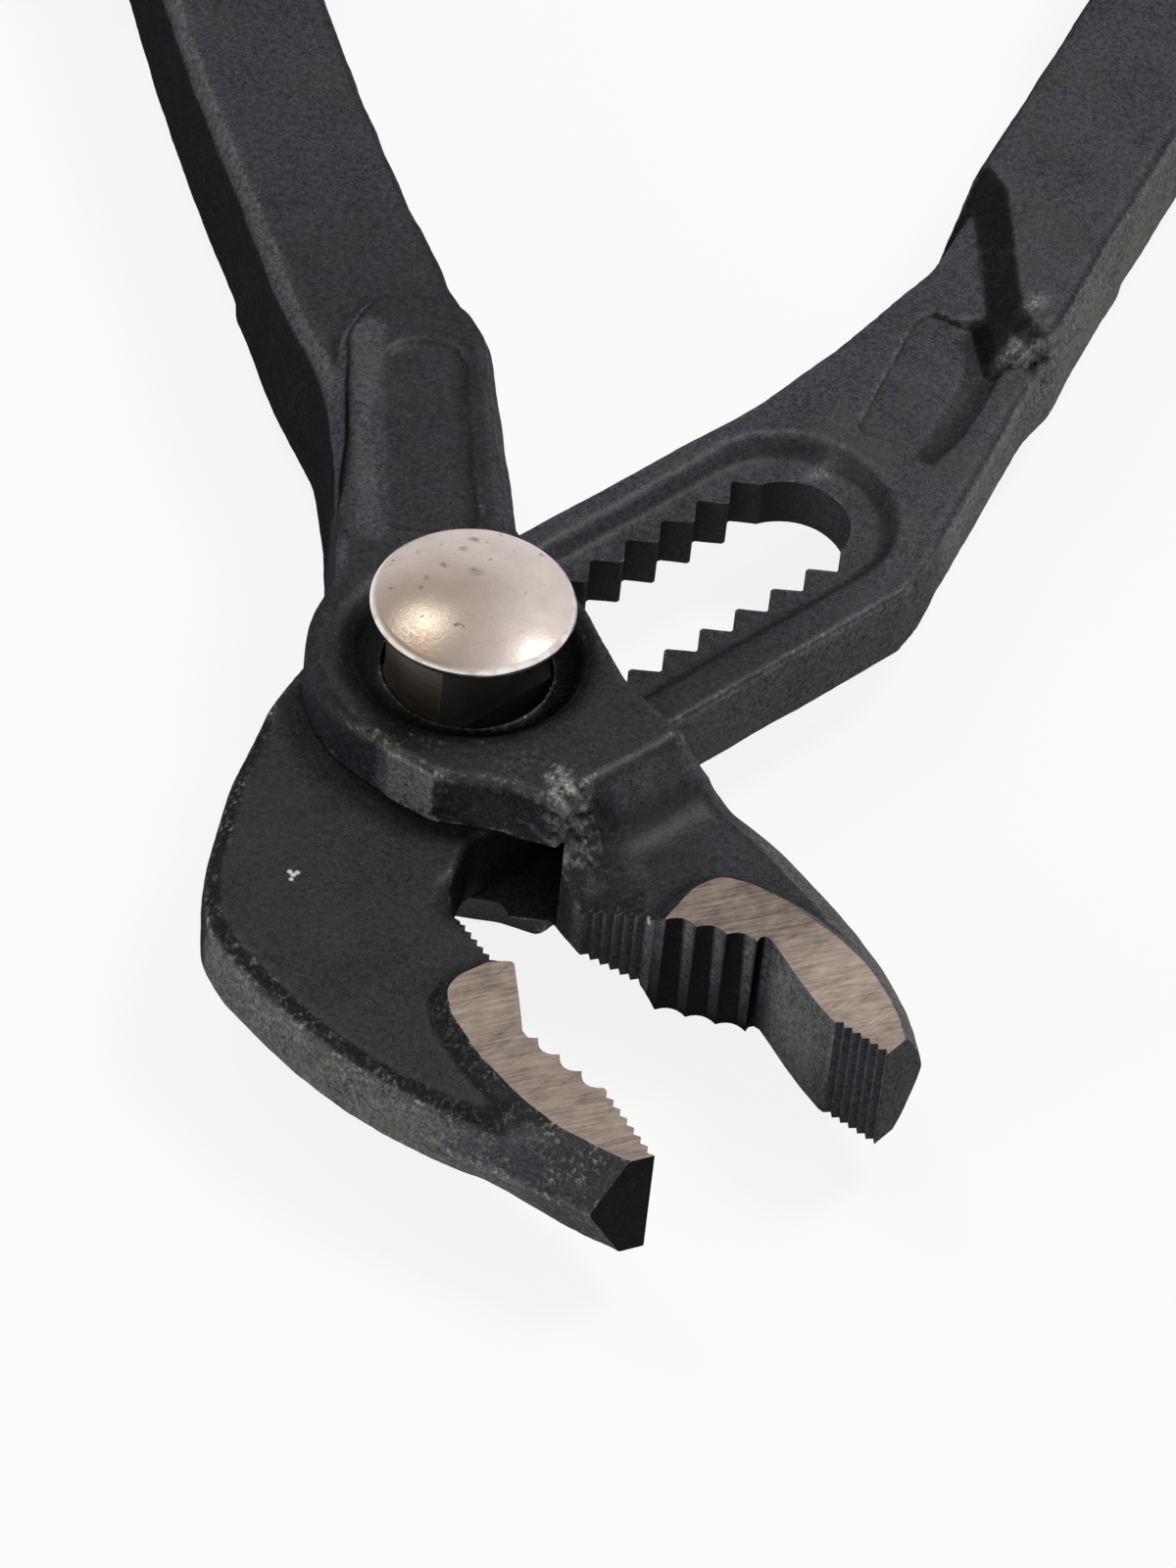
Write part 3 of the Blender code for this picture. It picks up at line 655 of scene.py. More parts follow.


# painted light and shade in the oxide's tone, how much forging scale there is and where edges are worn,
# corner by corner
def paintLightShadeAndWear(arm, turn, rules):
    look, mesh = wearLook, arm.data
    corner = column(mesh.loops, "vertex_index", 1, np.int32)
    points = column(mesh.vertices, "co", 3) / mm - (0, 0, midHeight)
    facing = column(mesh.vertex_normals, "vector", 3)
    ends = column(mesh.edges, "vertices", 2, np.int32)
    first, second = ends.T
    total = len(points)
    gap = points[first] - points[second]
    length = np.maximum(np.linalg.norm(gap, axis=1), 1e-6)
    near = length < look["reach"]
    bend, hits = np.zeros(total), np.full(total, 1e-6)
    for here, way in ((first, gap), (second, -gap)):
        rise = (facing[here] * way).sum(1) / length
        bend += np.bincount(here[near], rise[near], total)
        hits += np.bincount(here[near], None, total)
    bend = bend / hits
    around = np.bincount(first, bend[second], total) + np.bincount(second, bend[first], total)
    bend = look["own"] * bend + (1 - look["own"]) * around / np.bincount(ends.ravel(), None, total)
    size = column(mesh.polygons, "loop_total", 1, np.int32)
    area = np.repeat(column(mesh.polygons, "area"), size)
    bend = np.where(area < look["smallFace"] * mm * mm, bend[corner], 0)

    x, y, z = points[corner].T
    nx, ny, nz = column(mesh.corner_normals, "vector", 3).T
    tone, scale, wear = rules(*turnedBy(x, y, -turn), z, *turnedBy(nx, ny, -turn), nz)
    wear = wear * np.clip((bend - look["least"]) / look["edge"], 0, 1)
    crease = np.clip((-bend - look["least"]) / look["crease"], 0, 1)
    # creases painted darker, as shade
    tone = np.maximum(tone, look["darkest"]) * (1 - look["creaseShade"] * crease)
    for name, values in (("tone", tone), ("scale", scale), ("wear", wear)):
        layer = mesh.attributes.new(name, "FLOAT", "CORNER")
        layer.data.foreach_set("value", np.broadcast_to(values, len(corner)).astype(np.float32))


# both arms: a skinned field, cut by the gripping edge, its own cutters and the ground pads


def padBlock(side, rise, half):
    return np.maximum(rise - half - 0.25, (side + rise - half) * slant)


# the grid's plan and heights, its three axes, and helpers that spread a plan value upwards
def fieldTools(shape, x, y, z):
    flatX, flatY = np.meshgrid(x, y, indexing="ij")
    axes = (x[:, None, None], y[None, :, None], z[None, None, :])

    def lift(values):
        return np.asarray(values, np.float32)[:, :, None]

    def flat(loop):
        return lift(loopDistance(flatX, flatY, roundedLoop(shape[loop])))

    return flatX, flatY, axes[2].astype(np.float32), axes, lift, flat


def makeArm(name, shape, field, edge, cutters, rules, turn):
    axes = [np.arange(a, b + shape["step"], shape["step"]) for a, b in zip(shape["low"], shape["high"])]
    arm = skin(name, field(*axes), shape["low"], shape["step"], turn)
    half, deep = shape["padHalf"], shape["cutHalf"]
    grip = prism("gripCut", [*edge, *shape["gripEnd"]], -deep, deep, turn)
    faces = [prism("padCut", shape["padArea"], *level, turn) for level in ((half, deep), (-deep, -half))]
    combine(arm, "DIFFERENCE", [grip, *cutters, *faces])
    smoothShade(arm)
    dress(arm, "oxide", "ground")
    centres, normals = faceTable(arm)
    x, y = turnedBy(centres[:, 0], centres[:, 1], -turn)
    onPad = (np.abs(normals[:, 2]) > 0.99) & (np.abs(np.abs(centres[:, 2]) - half) < 0.02)
    onPad &= loopDistance(x, y, np.array(shape["padArea"], float)) < 0
    arm.data.polygons.foreach_set("material_index", onPad.astype(np.int32))
    paintLightShadeAndWear(arm, turn, rules)
    return arm


# outer arm: box, neck, handle and the right-hand jaw

outerShape = {
    "step": 0.34,
    "low": (-44.0, -40.0, -10.4),
    "high": (42.6, 103.0, 10.4),
    "box": [
        (-11.8, 10, 5), (-10.4, -4, 4), (-4.9, -12.8, 2), (-1.4, -14.9, 0.8), (4.5, -15.2, 2),
        (8.8, -16.4, 0.6), (11.7, -13.1, 2), (18, -7, 1), (12.8, -1.4, 8), (9, 6.2, 6), (2.4, 14.6, 5),
        (0.4, 24, 8), (-1.9, 37.6, 5), (-4.2, 41.8, 4), (-11.4, 41.8, 4), (-13.3, 36.5, 5), (-12.2, 24, 12),
    ],
    "boxHalf": 9.21,
    "tongueDrop": 0.7,
    "boss": 13.15,
    "panel": [
        (-8.2, 12.6, 1.5), (-10.2, 25.6, 20), (-10, 35.6, 3), (-3.5, 36.2, 3), (-2.2, 25.6, 20),
        (-0.4, 13, 1.5),
    ],
    "panelDepth": 0.5,
    "neck": [
        (-11.4, 9, 3), (-13.2, 23.7, 20), (-14.9, 32, 12), (-19.3, 41, 20), (-22.6, 50, 14), (-23.8, 53, 8),
        (-9.8, 54.4, 4), (-5.4, 45.5, 10), (-1.5, 39, 5), (0.7, 27.8, 20), (2.6, 17.6, 4), (3.4, 12, 3),
    ],
    "neckHalf": 7.1,
    "neckChamfer": (1.2, 0.6),
    "handle": [(-13.4, 46.5), (-17.4, 56.1), (-21.4, 66), (-26.5, 80.1), (-32.1, 97.9), (-38.3, 120)],
    "handleWide": 7.0,
    "handleHalf": 6.5,
    "handleChamfer": (1.2, 0.6),
    "handleEnd": ((-32.8, 100.4), (-0.3, 0.95)),
    "toJaw": ((18, -7), (0.651, -0.759)),
    "jaw": [
        (8, 2, 3), (19.4, -2.7, 3), (22.1, -5.6, 8), (27, -10, 20), (31.3, -15.1, 20), (35.5, -21, 15),
        (38.2, -26.6, 10), (39.35, -31, 8), (41.3, -39, 8), (44, -54, 6), (26, -54, 6), (1, -32, 6),
        (1, -10, 6),
    ],
    "pad": [
        (17.6, -24.2, 1), (18.2, -23.2, 0.8), (19.9, -20.1, 1.5), (21.9, -18.5, 2), (24.3, -18.9, 3),
        (27.3, -20.4, 8), (31.8, -23.8, 12), (34.3, -26.6, 12), (36.5, -30.5, 6), (37.5, -33.6, 4),
        (38.4, -37, 2), (30, -38, 2), (22, -31, 2),
    ],
    "padHalf": 5.2,
    "hollowHalf": 3.6,
    "saddleBlend": 3.0,
    "tipEnd": -39.2,
    "torn": ((9.6, -15.2), (2.2, 1.8)),
    "window": [
        (-9.8, 8.9), (-1.2, 38.8), (60, 60), (60, 0), (26.7, 1.8), (12.5, -9.1), (9.4, -12.8), (9.4, -60),
        (-60, -60), (-60, 8.9),
    ],
    "windowHalf": 4.05,
    "bore": [
        (0, 11), (11.3, 11), (11.3, 9.26), (10.4, 9.02), (9.7, 8.62), (9.2, 8), (8.9, 7.4), (8.5, 7.05),
        (7.9, 6.9), (7.3, 6.87), (6.98, 6.85), (6.98, 0), (7.88, 0), (7.88, -7.8), (8.48, -7.8), (8.48, -9.0),
        (7.88, -9.0), (7.88, -9.1), (8.1, -9.3), (8.1, -11), (0, -11),
    ],
    "gripEnd": [(39.6, -31.1), (45, -23.5), (60, -23.5), (60, -60), (-20, -60)],
    "padArea": [
        (16, -26), (17.2, -21.5), (19.5, -18), (22, -16.5), (28, -17), (36, -25), (42, -33), (40, -40),
        (20, -40),
    ],
    "cutHalf": 12,
}


def outerEdge():
    edge = [(-20, -16.6), (8.9, -16.6), (9.3, -17), (11.3, -19.5)]
    edge += teethLine((11.6, -19.8), (16.6, -22.4), 6, 0.5)
    edge += [(17.2, -23.2)]
    edge += teethLine((18, -23.9), (25.3, -25.2), 3, 0.52, True)
    edge += [(25.5, -24.7), (25.9, -24.5), (26.4, -24.8), (27.4, -26.4), (28.6, -28.4), (30, -30.5)]
    edge += [(31.6, -32.6)]
    edge += teethLine((32, -32.9), (36.2, -35.7), 6, 0.42)
    return [np.array(point, float) for point in edge]


def outerField(x, y, z):
    shape = outerShape
    flatX, flatY, front, axes, lift, flat = fieldTools(shape, x, y, z)
    rise, upper = np.abs(front), front > 0

    boss = np.maximum(np.hypot(flatX, flatY) - shape["boss"], flatX)
    boxFlat = smoothMin(flat("box"), lift(boss), 1.4)
    toJaw = lift(ease(beyond(flatX, flatY, *shape["toJaw"]), -3, 0.5) * ease(flatX, 9, 12.5))
    boxFlat = boxFlat - toJaw * 0.42 * np.clip(shape["boxHalf"] - rise, 0, 6)
    under = lift(ease(-flatY, 9, 13) * (1 - ease(flatX, 12, 17))) * (front < 0)
    boxFlat = boxFlat + under * 0.46 * np.clip(rise - 4, 0, 6)
    boxHalf = lift(shape["boxHalf"] - shape["tongueDrop"] * ease(flatY, 16, 40))
    rounding = lift(0.9 + 0.9 * ease(-flatX, 4, 9) * ease(flatY, -12, -6) * (1 - ease(flatY, 9, 16)))
    box = roundedPlate(boxFlat, rise, boxHalf, rounding)
    recess = smoothMax(flat("panel"), boxHalf - shape["panelDepth"] - rise, 0.5)
    box = smoothMax(box, -recess, 0.5)

    cuts = [np.where(upper, *shape[key]).astype(np.float32) for key in ("neckChamfer", "handleChamfer")]
    neck = chamferedPlate(flat("neck"), rise, shape["neckHalf"], cuts[0])
    bar = lift(pathDistance(flatX, flatY, smoothPath(shape["handle"])) - shape["handleWide"])
    handle = chamferedPlate(bar, rise, shape["handleHalf"], cuts[1])
    handle = np.maximum(handle, lift(beyond(flatX, flatY, *shape["handleEnd"])))
    body = smoothMin(smoothMin(neck, handle, 1.2), box, 1.3)

    side = flat("jaw")
    steep = lift(0.93 + 0.12 * np.clip(-20 - flatY, 0, 12))
    flank = smoothMax((rise + steep * side) / np.sqrt(1 + steep**2), side + 0.1, 0.9)
    near = pathDistance(flatX, flatY, np.array(outerEdge())[3:18])
    drop = (3.3 - 0.62 * np.clip(flatX - 11.4, 0, 5)) * np.exp(-((near / 3) ** 2))
    hollow = rise - np.where(upper, lift(shape["hollowHalf"] - drop), shape["hollowHalf"] + 0.6)
    pad = padBlock(flat("pad"), rise, shape["padHalf"])
    jaw = smoothMax(smoothMin(hollow, pad, 0.5), flank, 0.5)
    blend = lift(1.0 + (shape["saddleBlend"] - 1.0) * ease(flatX, 10, 15))
    arm = np.maximum(smoothMin(body, jaw, blend), lift(shape["tipEnd"] - flatY))
    arm = arm - lift(blot(flatX, flatY, *shape["torn"])) * 0.35 * ripple(*axes, 1.7, 8)
    return (arm + 0.05 * ripple(*axes, 7, 3) + 0.025 * ripple(*axes, 2.4, 4)).astype(np.float32)


# where the outer arm's oxide is painted lighter or darker, mostly as light and shade: paths, and ovals by
# centre and reach
outerPaint = {
    "tongueLeftLight": [(-11.7, 36.6), (-11, 28), (-9.9, 20), (-9, 12)],
    "tongueRightLight": [(-1.2, 36), (0.2, 25), (1.6, 15)],
    "panelShade": [(-3.4, 35.4), (-2.2, 25.6), (-0.5, 13)],
    "neckCreaseShade": [(-14, 36), (-12.7, 26), (-11.9, 17)],
    "torn": [(8.6, -14), (10.8, -17.8)],
    # painted shade in the pocket, the button's painted shadow in front, and painted shade and light on the
    # cheek and the saddle
    "pocket": ((12.4, -14.2), (1.4, 1.2)),
    "frontShade": ((-4.2, -10.7), (6, 3)),
    "cheekShade": ((-8, -5), (5, 6)),
    "saddleShade": ((17, -15), (3, 3.5)),
    "saddleLight": ((15.2, -12.4), (2.4, 2.4)),
    "boreEdge": (6.98, 0.25),
    "scallops": (17.2, 26.5),
}


def outerLightShadeAndWear(x, y, z, nx, ny, nz):
    paint = outerPaint
    upright = 1 - ease(np.abs(nz), 0.45, 0.75)
    top = ease(nz, 0.6, 0.9)
    neck = ease(y, 12, 22)
    tongue = ease(z, 7.4, 8) * ease(y, 9, 13)
    # tops painted lighter towards the handle and along the tongue's edges, as the light falls
    tone = 0.95 + top * (0.75 * ease(y, 38, 60) + 0.18 * span(y, 10, 14, 36, 42))
    tone += 1.5 * tongue * beside(x, y, paint["tongueLeftLight"], 0.8, 1.9)
    tone += 0.6 * tongue * beside(x, y, paint["tongueRightLight"], 0.5, 1.3)
    # painted shade beside the panel and in the neck's crease
    tone *= 1 - 0.38 * tongue * beside(x, y, paint["panelShade"], 0.4, 1.7)
    tone *= 1 - 0.5 * beside(x, y, paint["neckCreaseShade"], 0.4, 1.1) * ease(z, 5, 6)
    # the neck's left-facing flanks painted in shade, left-facing chamfers painted lit
    tone -= 0.6 * upright * ease(-nx, 0.6, 0.85) * neck
    tone += 2.4 * span(nz, 0.25, 0.4, 0.9, 0.97) * ease(-nx, 0.3, 0.5) * ease(y, 4, 12) * (1 - tongue)

    # a left-facing facet of the box front, painted lit; it also carries scale and wear
    litFacet = upright * span(-nx, 0.3, 0.42, 0.6, 0.75) * ease(-y, 11.5, 12.8) * ease(z, 3, 5)
    torn = np.exp(-((pathDistance(x, y, paint["torn"]) / 1.6) ** 2)) * ease(z, 1.5, 3.5)
    torn = ease(torn + 0.45 * ripple(x, y, z, 0.9, 12) * ease(torn, 0.02, 0.2), 0.5, 0.72)
    # right-facing faces are painted lit
    rightFacingLit = ease(nx, 0.5, 0.7)
    root = ease(-y, 18, 19) * (1 - ease(x, 26, 27))
    grip = upright * ease(x, 10, 11) * ease(-y, 18, 19) * (1 - rightFacingLit * (1 - root))
    # the teeth's left-facing faces painted lit and the rest of the scallops painted in shade
    lit = ease(-nx, 0.6, 0.85)
    first, last = paint["scallops"]
    teeth = np.where(x < first, 2.6 + 3 * lit, np.where(x < last, 0.2 - 0.13 * lit, 1.9 + 2.6 * lit))
    tone = tone * (1 - grip) + grip * teeth
    # a ridge band on the jaw's right flank and the left-facing wall of its hollow painted lit
    rim = span(nz, 0.1, 0.25, 0.7, 0.9) * ease(nx, 0.25, 0.45) * ease(x, 20, 26)
    hollow = upright * ease(-nx, 0.6, 0.75) * span(x, 25.5, 26.5, 31, 31.8)
    tone += 5.5 * litFacet + 5.5 * torn + 1.5 * hollow + 3.5 * rim + 2.3 * upright * rightFacingLit * (1 - root)
    # the lower back cheek painted lighter
    tone += 3.8 * ease(-z, 3, 4) * ease(-y, 11, 13) * (1 - ease(x, 9, 10))

    # the button's painted shadow on the box top, painted shade on the cheek, the saddle and in the pocket,
    # painted light on the saddle and towards the right of the tops
    tone *= 1 - 0.8 * blot(x, y, *paint["frontShade"]) * ease(z, 8, 9)
    tone *= 1 - 0.3 * blot(x, y, *paint["cheekShade"]) * top
    tone *= 1 - 0.22 * blot(x, y, *paint["saddleShade"])
    tone *= 1 + 0.2 * blot(x, y, *paint["saddleLight"])
    tone += 0.35 * ease(x, 19, 23) * (1 - upright)
    tone *= 1 - 0.6 * blot(x, y, *paint["pocket"]) * ease(z, 2, 4)
    # the counterbore painted darker inside, as shade, most on its right
    reach = np.hypot(x, y)
    boreShade = 0.25 + (0.65 - 0.25 * ease(reach, 8.6, 9.2)) * ease(x, -3, 3)
    tone *= 1 - boreShade * (1 - ease(reach, 9.4, 10.8)) * ease(z, 0, 1)
    radius, width = paint["boreEdge"]
    ring = np.exp(-(((reach - radius) / width) ** 2)) * ease(z, 6.4, 6.8)
    ring *= ease(-y, 0, 4) * (1 - ease(x, 5.5, 7))
    front = ease(-y, 9, 12) * (1 - ease(x, 12, 18))
    scale = 0.05 + np.clip(torn * 1.1 + litFacet * 0.6 + ring * 1.1 + front * 0.15, 0, 1.1)
    wear = 0.45 + 0.75 * np.clip(litFacet + torn + front + ring, 0, 1) - 0.35 * neck
    return tone + 2.5 * ring, scale, wear


outerCutters = [
    prism("windowCut", outerShape["window"], -outerShape["windowHalf"], outerShape["windowHalf"]),
    turned("boreCut", outerShape["bore"]),
]
outerArm = makeArm("forgedOuterArm", outerShape, outerField, outerEdge(), outerCutters, outerLightShadeAndWear, 0)
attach(outerArm, "outer")
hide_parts("outer_arm")
print("outer arm:", len(outerArm.data.polygons), "faces")


# inner arm, in the slot's own frame: plate with the slot, left-hand jaw, web and handle

innerShape = {
    "step": 0.34,
    "low": (-36.5, -52.0, -7.6),
    "high": (119.5, 43.0, 7.6),
    "plate": [
        (0, 12, 8), (-4.5, 11.7, 8), (-7.8, 10.8, 8), (-13.5, 8.7, 20), (-21.5, 4, 20), (-29.3, -2.4, 12),
        (-32.4, -6.2, 6), (-33.5, -10.5, 8), (-33.8, -19.4, 30), (-33.1, -25, 20), (-31.1, -34, 30),
        (-26.2, -46.6, 3), (-23.2, -55, 1), (-14.5, -55, 1), (-14.5, -19, 1), (-16.4, -18, 1),
        (-14.4, -15.4, 2), (-10.5, -12.85, 3), (37, -12.85, 2), (40, -11.8, 3), (51.8, -6.1, 20),
        (62.5, -0.7, 8), (66.3, 0.3, 8), (72.2, 3.5, 10),
        (84, 8.9, 3), (78, 20.8, 3), (74.9, 19.3, 3), (70.9, 17.6, 5), (65.4, 15.2, 12), (52, 12.8, 30),
        (42, 11.6, 30), (34, 11.7, 30),
    ],
    "plateHalf": 3.72,
    "pad": [
        (-17, -25.9, 0.8), (-18.9, -24.7, 1), (-21.6, -24.3, 1.5), (-23.3, -24.8, 1.2), (-24.6, -26.8, 3),
        (-25.8, -31.6, 8), (-26.2, -37.3, 10), (-25.6, -42.5, 8), (-24.5, -47, 2), (-22.8, -55, 1),
        (-14, -55, 1), (-14, -25.9, 1),
    ],
    "padHalf": 5.2,
    "recess": [(-9.5, 8, 2), (-9.5, -8, 2), (43, -8, 7.8), (43, 8, 7.8)],
    "wallHalf": 2.3,
    "panel": [(46.3, 4, 1.5), (50.2, -2.2, 1.5), (63.5, 6.4, 2), (61.6, 11.4, 2), (59.3, 10.9, 2)],
    "panelDepth": 0.65,
    "groove": [(49.4, -1.9), (51.6, -0.9), (56.4, 1.3), (60, 3.1), (61.6, 4.8), (63, 6.8)],
    "handle": [(66, 7.6), (73.5, 11.9), (79, 14.4), (86, 17.6), (104, 26), (125.3, 37)],
    "handleWide": 7.0,
    "handleHalf": 6.55,
    "handleChamfer": (0.9, 3.2),
    "handleStart": ((62.5, -0.95), (0.42, -0.908)),
    "handleEnd": ((113, 30.9), (0.9, 0.44)),
    "thick": [
        (60.6, 1.6, 1), (63.1, 6.6, 4), (67.5, 12.4, 6), (72, 18, 1), (80, 60, 1), (150, 60, 1),
        (150, -40, 1), (62.5, -40, 1),
    ],
    "dent": ((64.6, 1.6), (1.2, 2.2)),
    "tipEnd": -51,
    "gripEnd": [(-33, -44), (-40, -60), (-10, -60)],
    "padArea": [(-15, -25.5), (-20, -22.8), (-25.5, -23), (-30, -34), (-30, -54), (-12, -54), (-12, -25.5)],
    "cutHalf": 9,
}


def innerEdge():
    edge = [(-10, -18.2), (-16.3, -18.2)]
    edge += teethLine((-16.5, -18.6), (-17.4, -24), 6, -0.45)
    edge += [(-17.3, -26), (-18.3, -27.4), (-19.5, -29.1), (-20.6, -30.6), (-21.5, -31.8), (-21.6, -32.6)]
    edge += teethLine((-21, -33.1), (-20.4, -40.1), 3, -0.75, True)
    edge += teethLine((-20.4, -40.5), (-21.9, -47.8), 7, -0.42)
    return [np.array(point, float) for point in edge]


def innerField(x, y, z):
    shape = innerShape
    flatX, flatY, front, axes, lift, flat = fieldTools(shape, x, y, z)
    rise, upper = np.abs(front), front > 0

    side = flat("plate")
    tip = lift(ease(-flatY, 27, 43) * ease(-flatX, 18, 24))
    wall = side + rise * (0.05 + 0.5 * tip)
    plate = roundedPlate(wall, rise, shape["plateHalf"], 0.7)
    outside = lift(ease(-flatX, 8, 16))
    plate = smoothMax(plate, (wall * 0.8 + rise - shape["plateHalf"] + 1.0) * 0.78 - 3 * (1 - outside), 0.35)
    bevel = lift(ease(flatX, 36, 44) * ease(-flatY, -6, 2))
    plate = smoothMax(plate, (side + rise - shape["plateHalf"] + 0.9) * slant - 6 * (1 - bevel), 0.5)

    recessSide = flat("recess")
    bead = lift(0.28 * ease(flatX, 33, 39)) * np.exp(-(((recessSide - 1.7) / 1.0) ** 2))
    plate = plate - bead
    recess = (recessSide - 0.9 * (rise - shape["wallHalf"])) * 0.74
    plate = smoothMax(plate, -smoothMax(recess, shape["wallHalf"] - rise, 0.35), 0.5)

    panel = smoothMax(flat("panel"), shape["plateHalf"] - shape["panelDepth"] - front, 0.2)
    plate = smoothMax(plate, -panel, 0.2)
    groove = np.hypot(lift(pathDistance(flatX, flatY, shape["groove"])), front - shape["plateHalf"] - 0.5)
    groove = groove - lift(0.9 + 0.85 * ease(flatX, 48.5, 54))
    plate = smoothMax(plate, -groove, 0.5)

    bar = lift(pathDistance(flatX, flatY, smoothPath(shape["handle"])) - shape["handleWide"])
    bar = smoothMax(bar, lift(beyond(flatX, flatY, *shape["handleStart"])), 1.0)
    chamfer = np.where(upper, *shape["handleChamfer"]).astype(np.float32)
    handle = chamferedPlate(bar, rise, shape["handleHalf"], chamfer)
    thick = flat("thick")
    ramp = np.where(upper, 0.85 * thick, 0.45 * thick + 1.2)
    handle = smoothMax(handle, (rise - 3.4 + ramp) * 0.76, 0.35)
    handle = np.maximum(handle, lift(beyond(flatX, flatY, *shape["handleEnd"])))
    arm = smoothMin(plate, handle, 0.5)
    dent = lift(0.7 * blot(flatX, flatY, *shape["dent"])) * np.clip(front, 0, 1)
    arm = arm + dent * (1 + 0.25 * ripple(*axes, 1.5, 9))

    pad = padBlock(flat("pad"), rise, shape["padHalf"])
    pad = smoothMax(pad, (rise + 2.3 * side - 0.6) * 0.4, 0.5)
    arm = np.maximum(smoothMin(arm, pad, 0.5), lift(shape["tipEnd"] - flatY))
    return (arm + 0.04 * ripple(*axes, 7, 5) + 0.025 * ripple(*axes, 2.4, 6)).astype(np.float32)


# ovals by centre and reach: painted shadow where the box overhangs the plate; each bright patch of flash also
# has its strength and lowest height
innerPaint = {
    "deep": ((-9.5, -15.2), (5, 3.4)),
    "flash": [
        ((67.4, 4.4), (1.2, 0.7), 1, 2), ((63, 2.8), (1.4, 0.6), 1, 2), ((42, 3), (1.5, 0.7), 0.8, 1.5),
    ],
    "lastNotch": 36.95,
}


def innerLightShadeAndWear(x, y, z, nx, ny, nz):
    upright = 1 - ease(np.abs(nz), 0.45, 0.75)
    top = ease(nz, 0.6, 0.9)
    jaw = ease(-x, 8, 14)
    web = ease(x, 42, 46)
    # the jaw's left-facing wall painted lit, and a band on its bevel painted in shade
    wall = upright * jaw * ease(-nx, 0.5, 0.8) * (1 - ease(ny, 0.25, 0.5))
    shadedBand = jaw * span(nz, 0.3, 0.4, 0.9, 0.96) * ease(-nx, 0.1, 0.3)
    # painted shade on the handle's step, the tip's end and the jaw's back-right faces, painted shadow under
    # the box, and right-front side walls painted lit
    step = ease(-nx, 0.3, 0.5) * ease(x, 58, 61) * span(nz, 0.3, 0.5, 0.86, 0.95)
    end = upright * ease(-ny, 0.8, 0.9) * ease(-y, 43, 44)
    side = upright * ease(-ny, 0.6, 0.8) * ease(x, 2, 6)
    deep = blot(x, y, *innerPaint["deep"])
    grip = upright * jaw * ease(nx, 0.3, 0.5)
    rail = ease(y, 5, 8) * span(x, 0, 10, 15, 45)
    # tops painted lighter towards the handle and along the upper rail, as the light falls
    tone = 1 + 0.1 * ease(x, 0, 10) + top * (0.95 * ease(x, 15, 45) + 1.05 * rail)
    tone += (4.15 - 2.2 * ease(-y, 37, 44)) * wall + (2.9 + 2.8 * web) * side
    tone *= (1 - 0.55 * shadedBand) * (1 - 0.8 * step) * (1 - 0.68 * end) * (1 - 0.85 * deep) * (1 - 0.5 * grip)
    # painted shade in the web's groove
    tone *= 1 - 0.6 * beside(x, y, innerShape["groove"], 0.7, 1.5) * (z > 1) * web
    flash = 0
    for centre, reach, share, height in innerPaint["flash"]:
        flash = flash + share * blot(x, y, centre, reach) * (z > height)
    # the slot's walls painted darker deep in the notches and lighter on one side of its round end
    slotWallShade = upright * span(x, -6, -4, 43, 44) * (1 - ease(np.abs(y), 6.6, 6.9))
    inNotch, atEnd = 0.55 + ease(6.6 - np.abs(y), 0, 1.7), 0.6 + 1.9 * ease(4.9 - y, 0, 4.6)
    tone = tone * (1 - slotWallShade) + slotWallShade * np.where(x < innerPaint["lastNotch"], inNotch, atEnd)
    # painted shade along the recess's edge
    line = np.exp(-((loopDistance(x, y, roundedLoop(innerShape["recess"])) / 0.3) ** 2))
    tone *= 1 - 0.4 * line * (z > 1.5) * (x > -5)
    scale = 0.05 + np.clip(0.75 * wall + 0.5 * shadedBand + 0.9 * flash, 0, 0.92)
    return tone + 3 * flash, scale, 0.5 + 0.5 * np.clip(wall + shadedBand + flash, 0, 1) - 0.4 * web * top


slotShape = {
    "pitch": 3.9,
    "land": 0.35,
    "tips": 4.9,
    "depth": 1.6,
    "notches": (-1, 10),
    "start": -7.5,
    "endRadius": 5.1,
    "half": 6,
}


def slotLoop():
    pitch, land, tips = slotShape["pitch"], slotShape["land"], slotShape["tips"]
    edge = []
    tip, root = pitch / 2 - land / 2, land / 2
    for notch in range(*slotShape["notches"]):
        for offset, sink in ((-tip, 0), (-root, 1), (root, 1), (tip, 0)):
            edge.append((notch * pitch + offset, tips + sink * slotShape["depth"]))
    edge = [point for point in edge if point[0] > slotShape["start"] + 1.2]
    radius = slotShape["endRadius"]
    centre = edge[-1][0] - radius * math.cos(math.radians(75))
    swing = np.radians(np.linspace(72, -72, 22))
    end = [(centre + radius * math.cos(at), radius * math.sin(at)) for at in swing]
    corner = [(slotShape["start"], tips - 1), (slotShape["start"] + 1, tips)]
    half = corner + edge
    return half + end + [(x, -y) for x, y in reversed(half)]


innerCutters = [prism("slotCut", slotLoop(), -slotShape["half"], slotShape["half"], slotTurn)]
innerArm = makeArm("forgedInnerArm", innerShape, innerField, innerEdge(), innerCutters, innerLightShadeAndWear, slotTurn)
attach(innerArm, "inner")
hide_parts("inner_arm")
print("inner arm:", len(innerArm.data.polygons), "faces")


# button, pin and the small parts behind it

buttonShape = {
    "radius": 8.3,
    "rim": 14.4,
    "crown": 1.6,
    "edge": [
        (8.22, 14.31), (8.28, 14.2), (8.3, 14.08), (8.3, 13.9), (8.25, 13.75), (8.1, 13.63), (7.95, 13.6),
    ],
    "spigot": (2.2, 13.6, 11.2),
    "steps": 24,
}


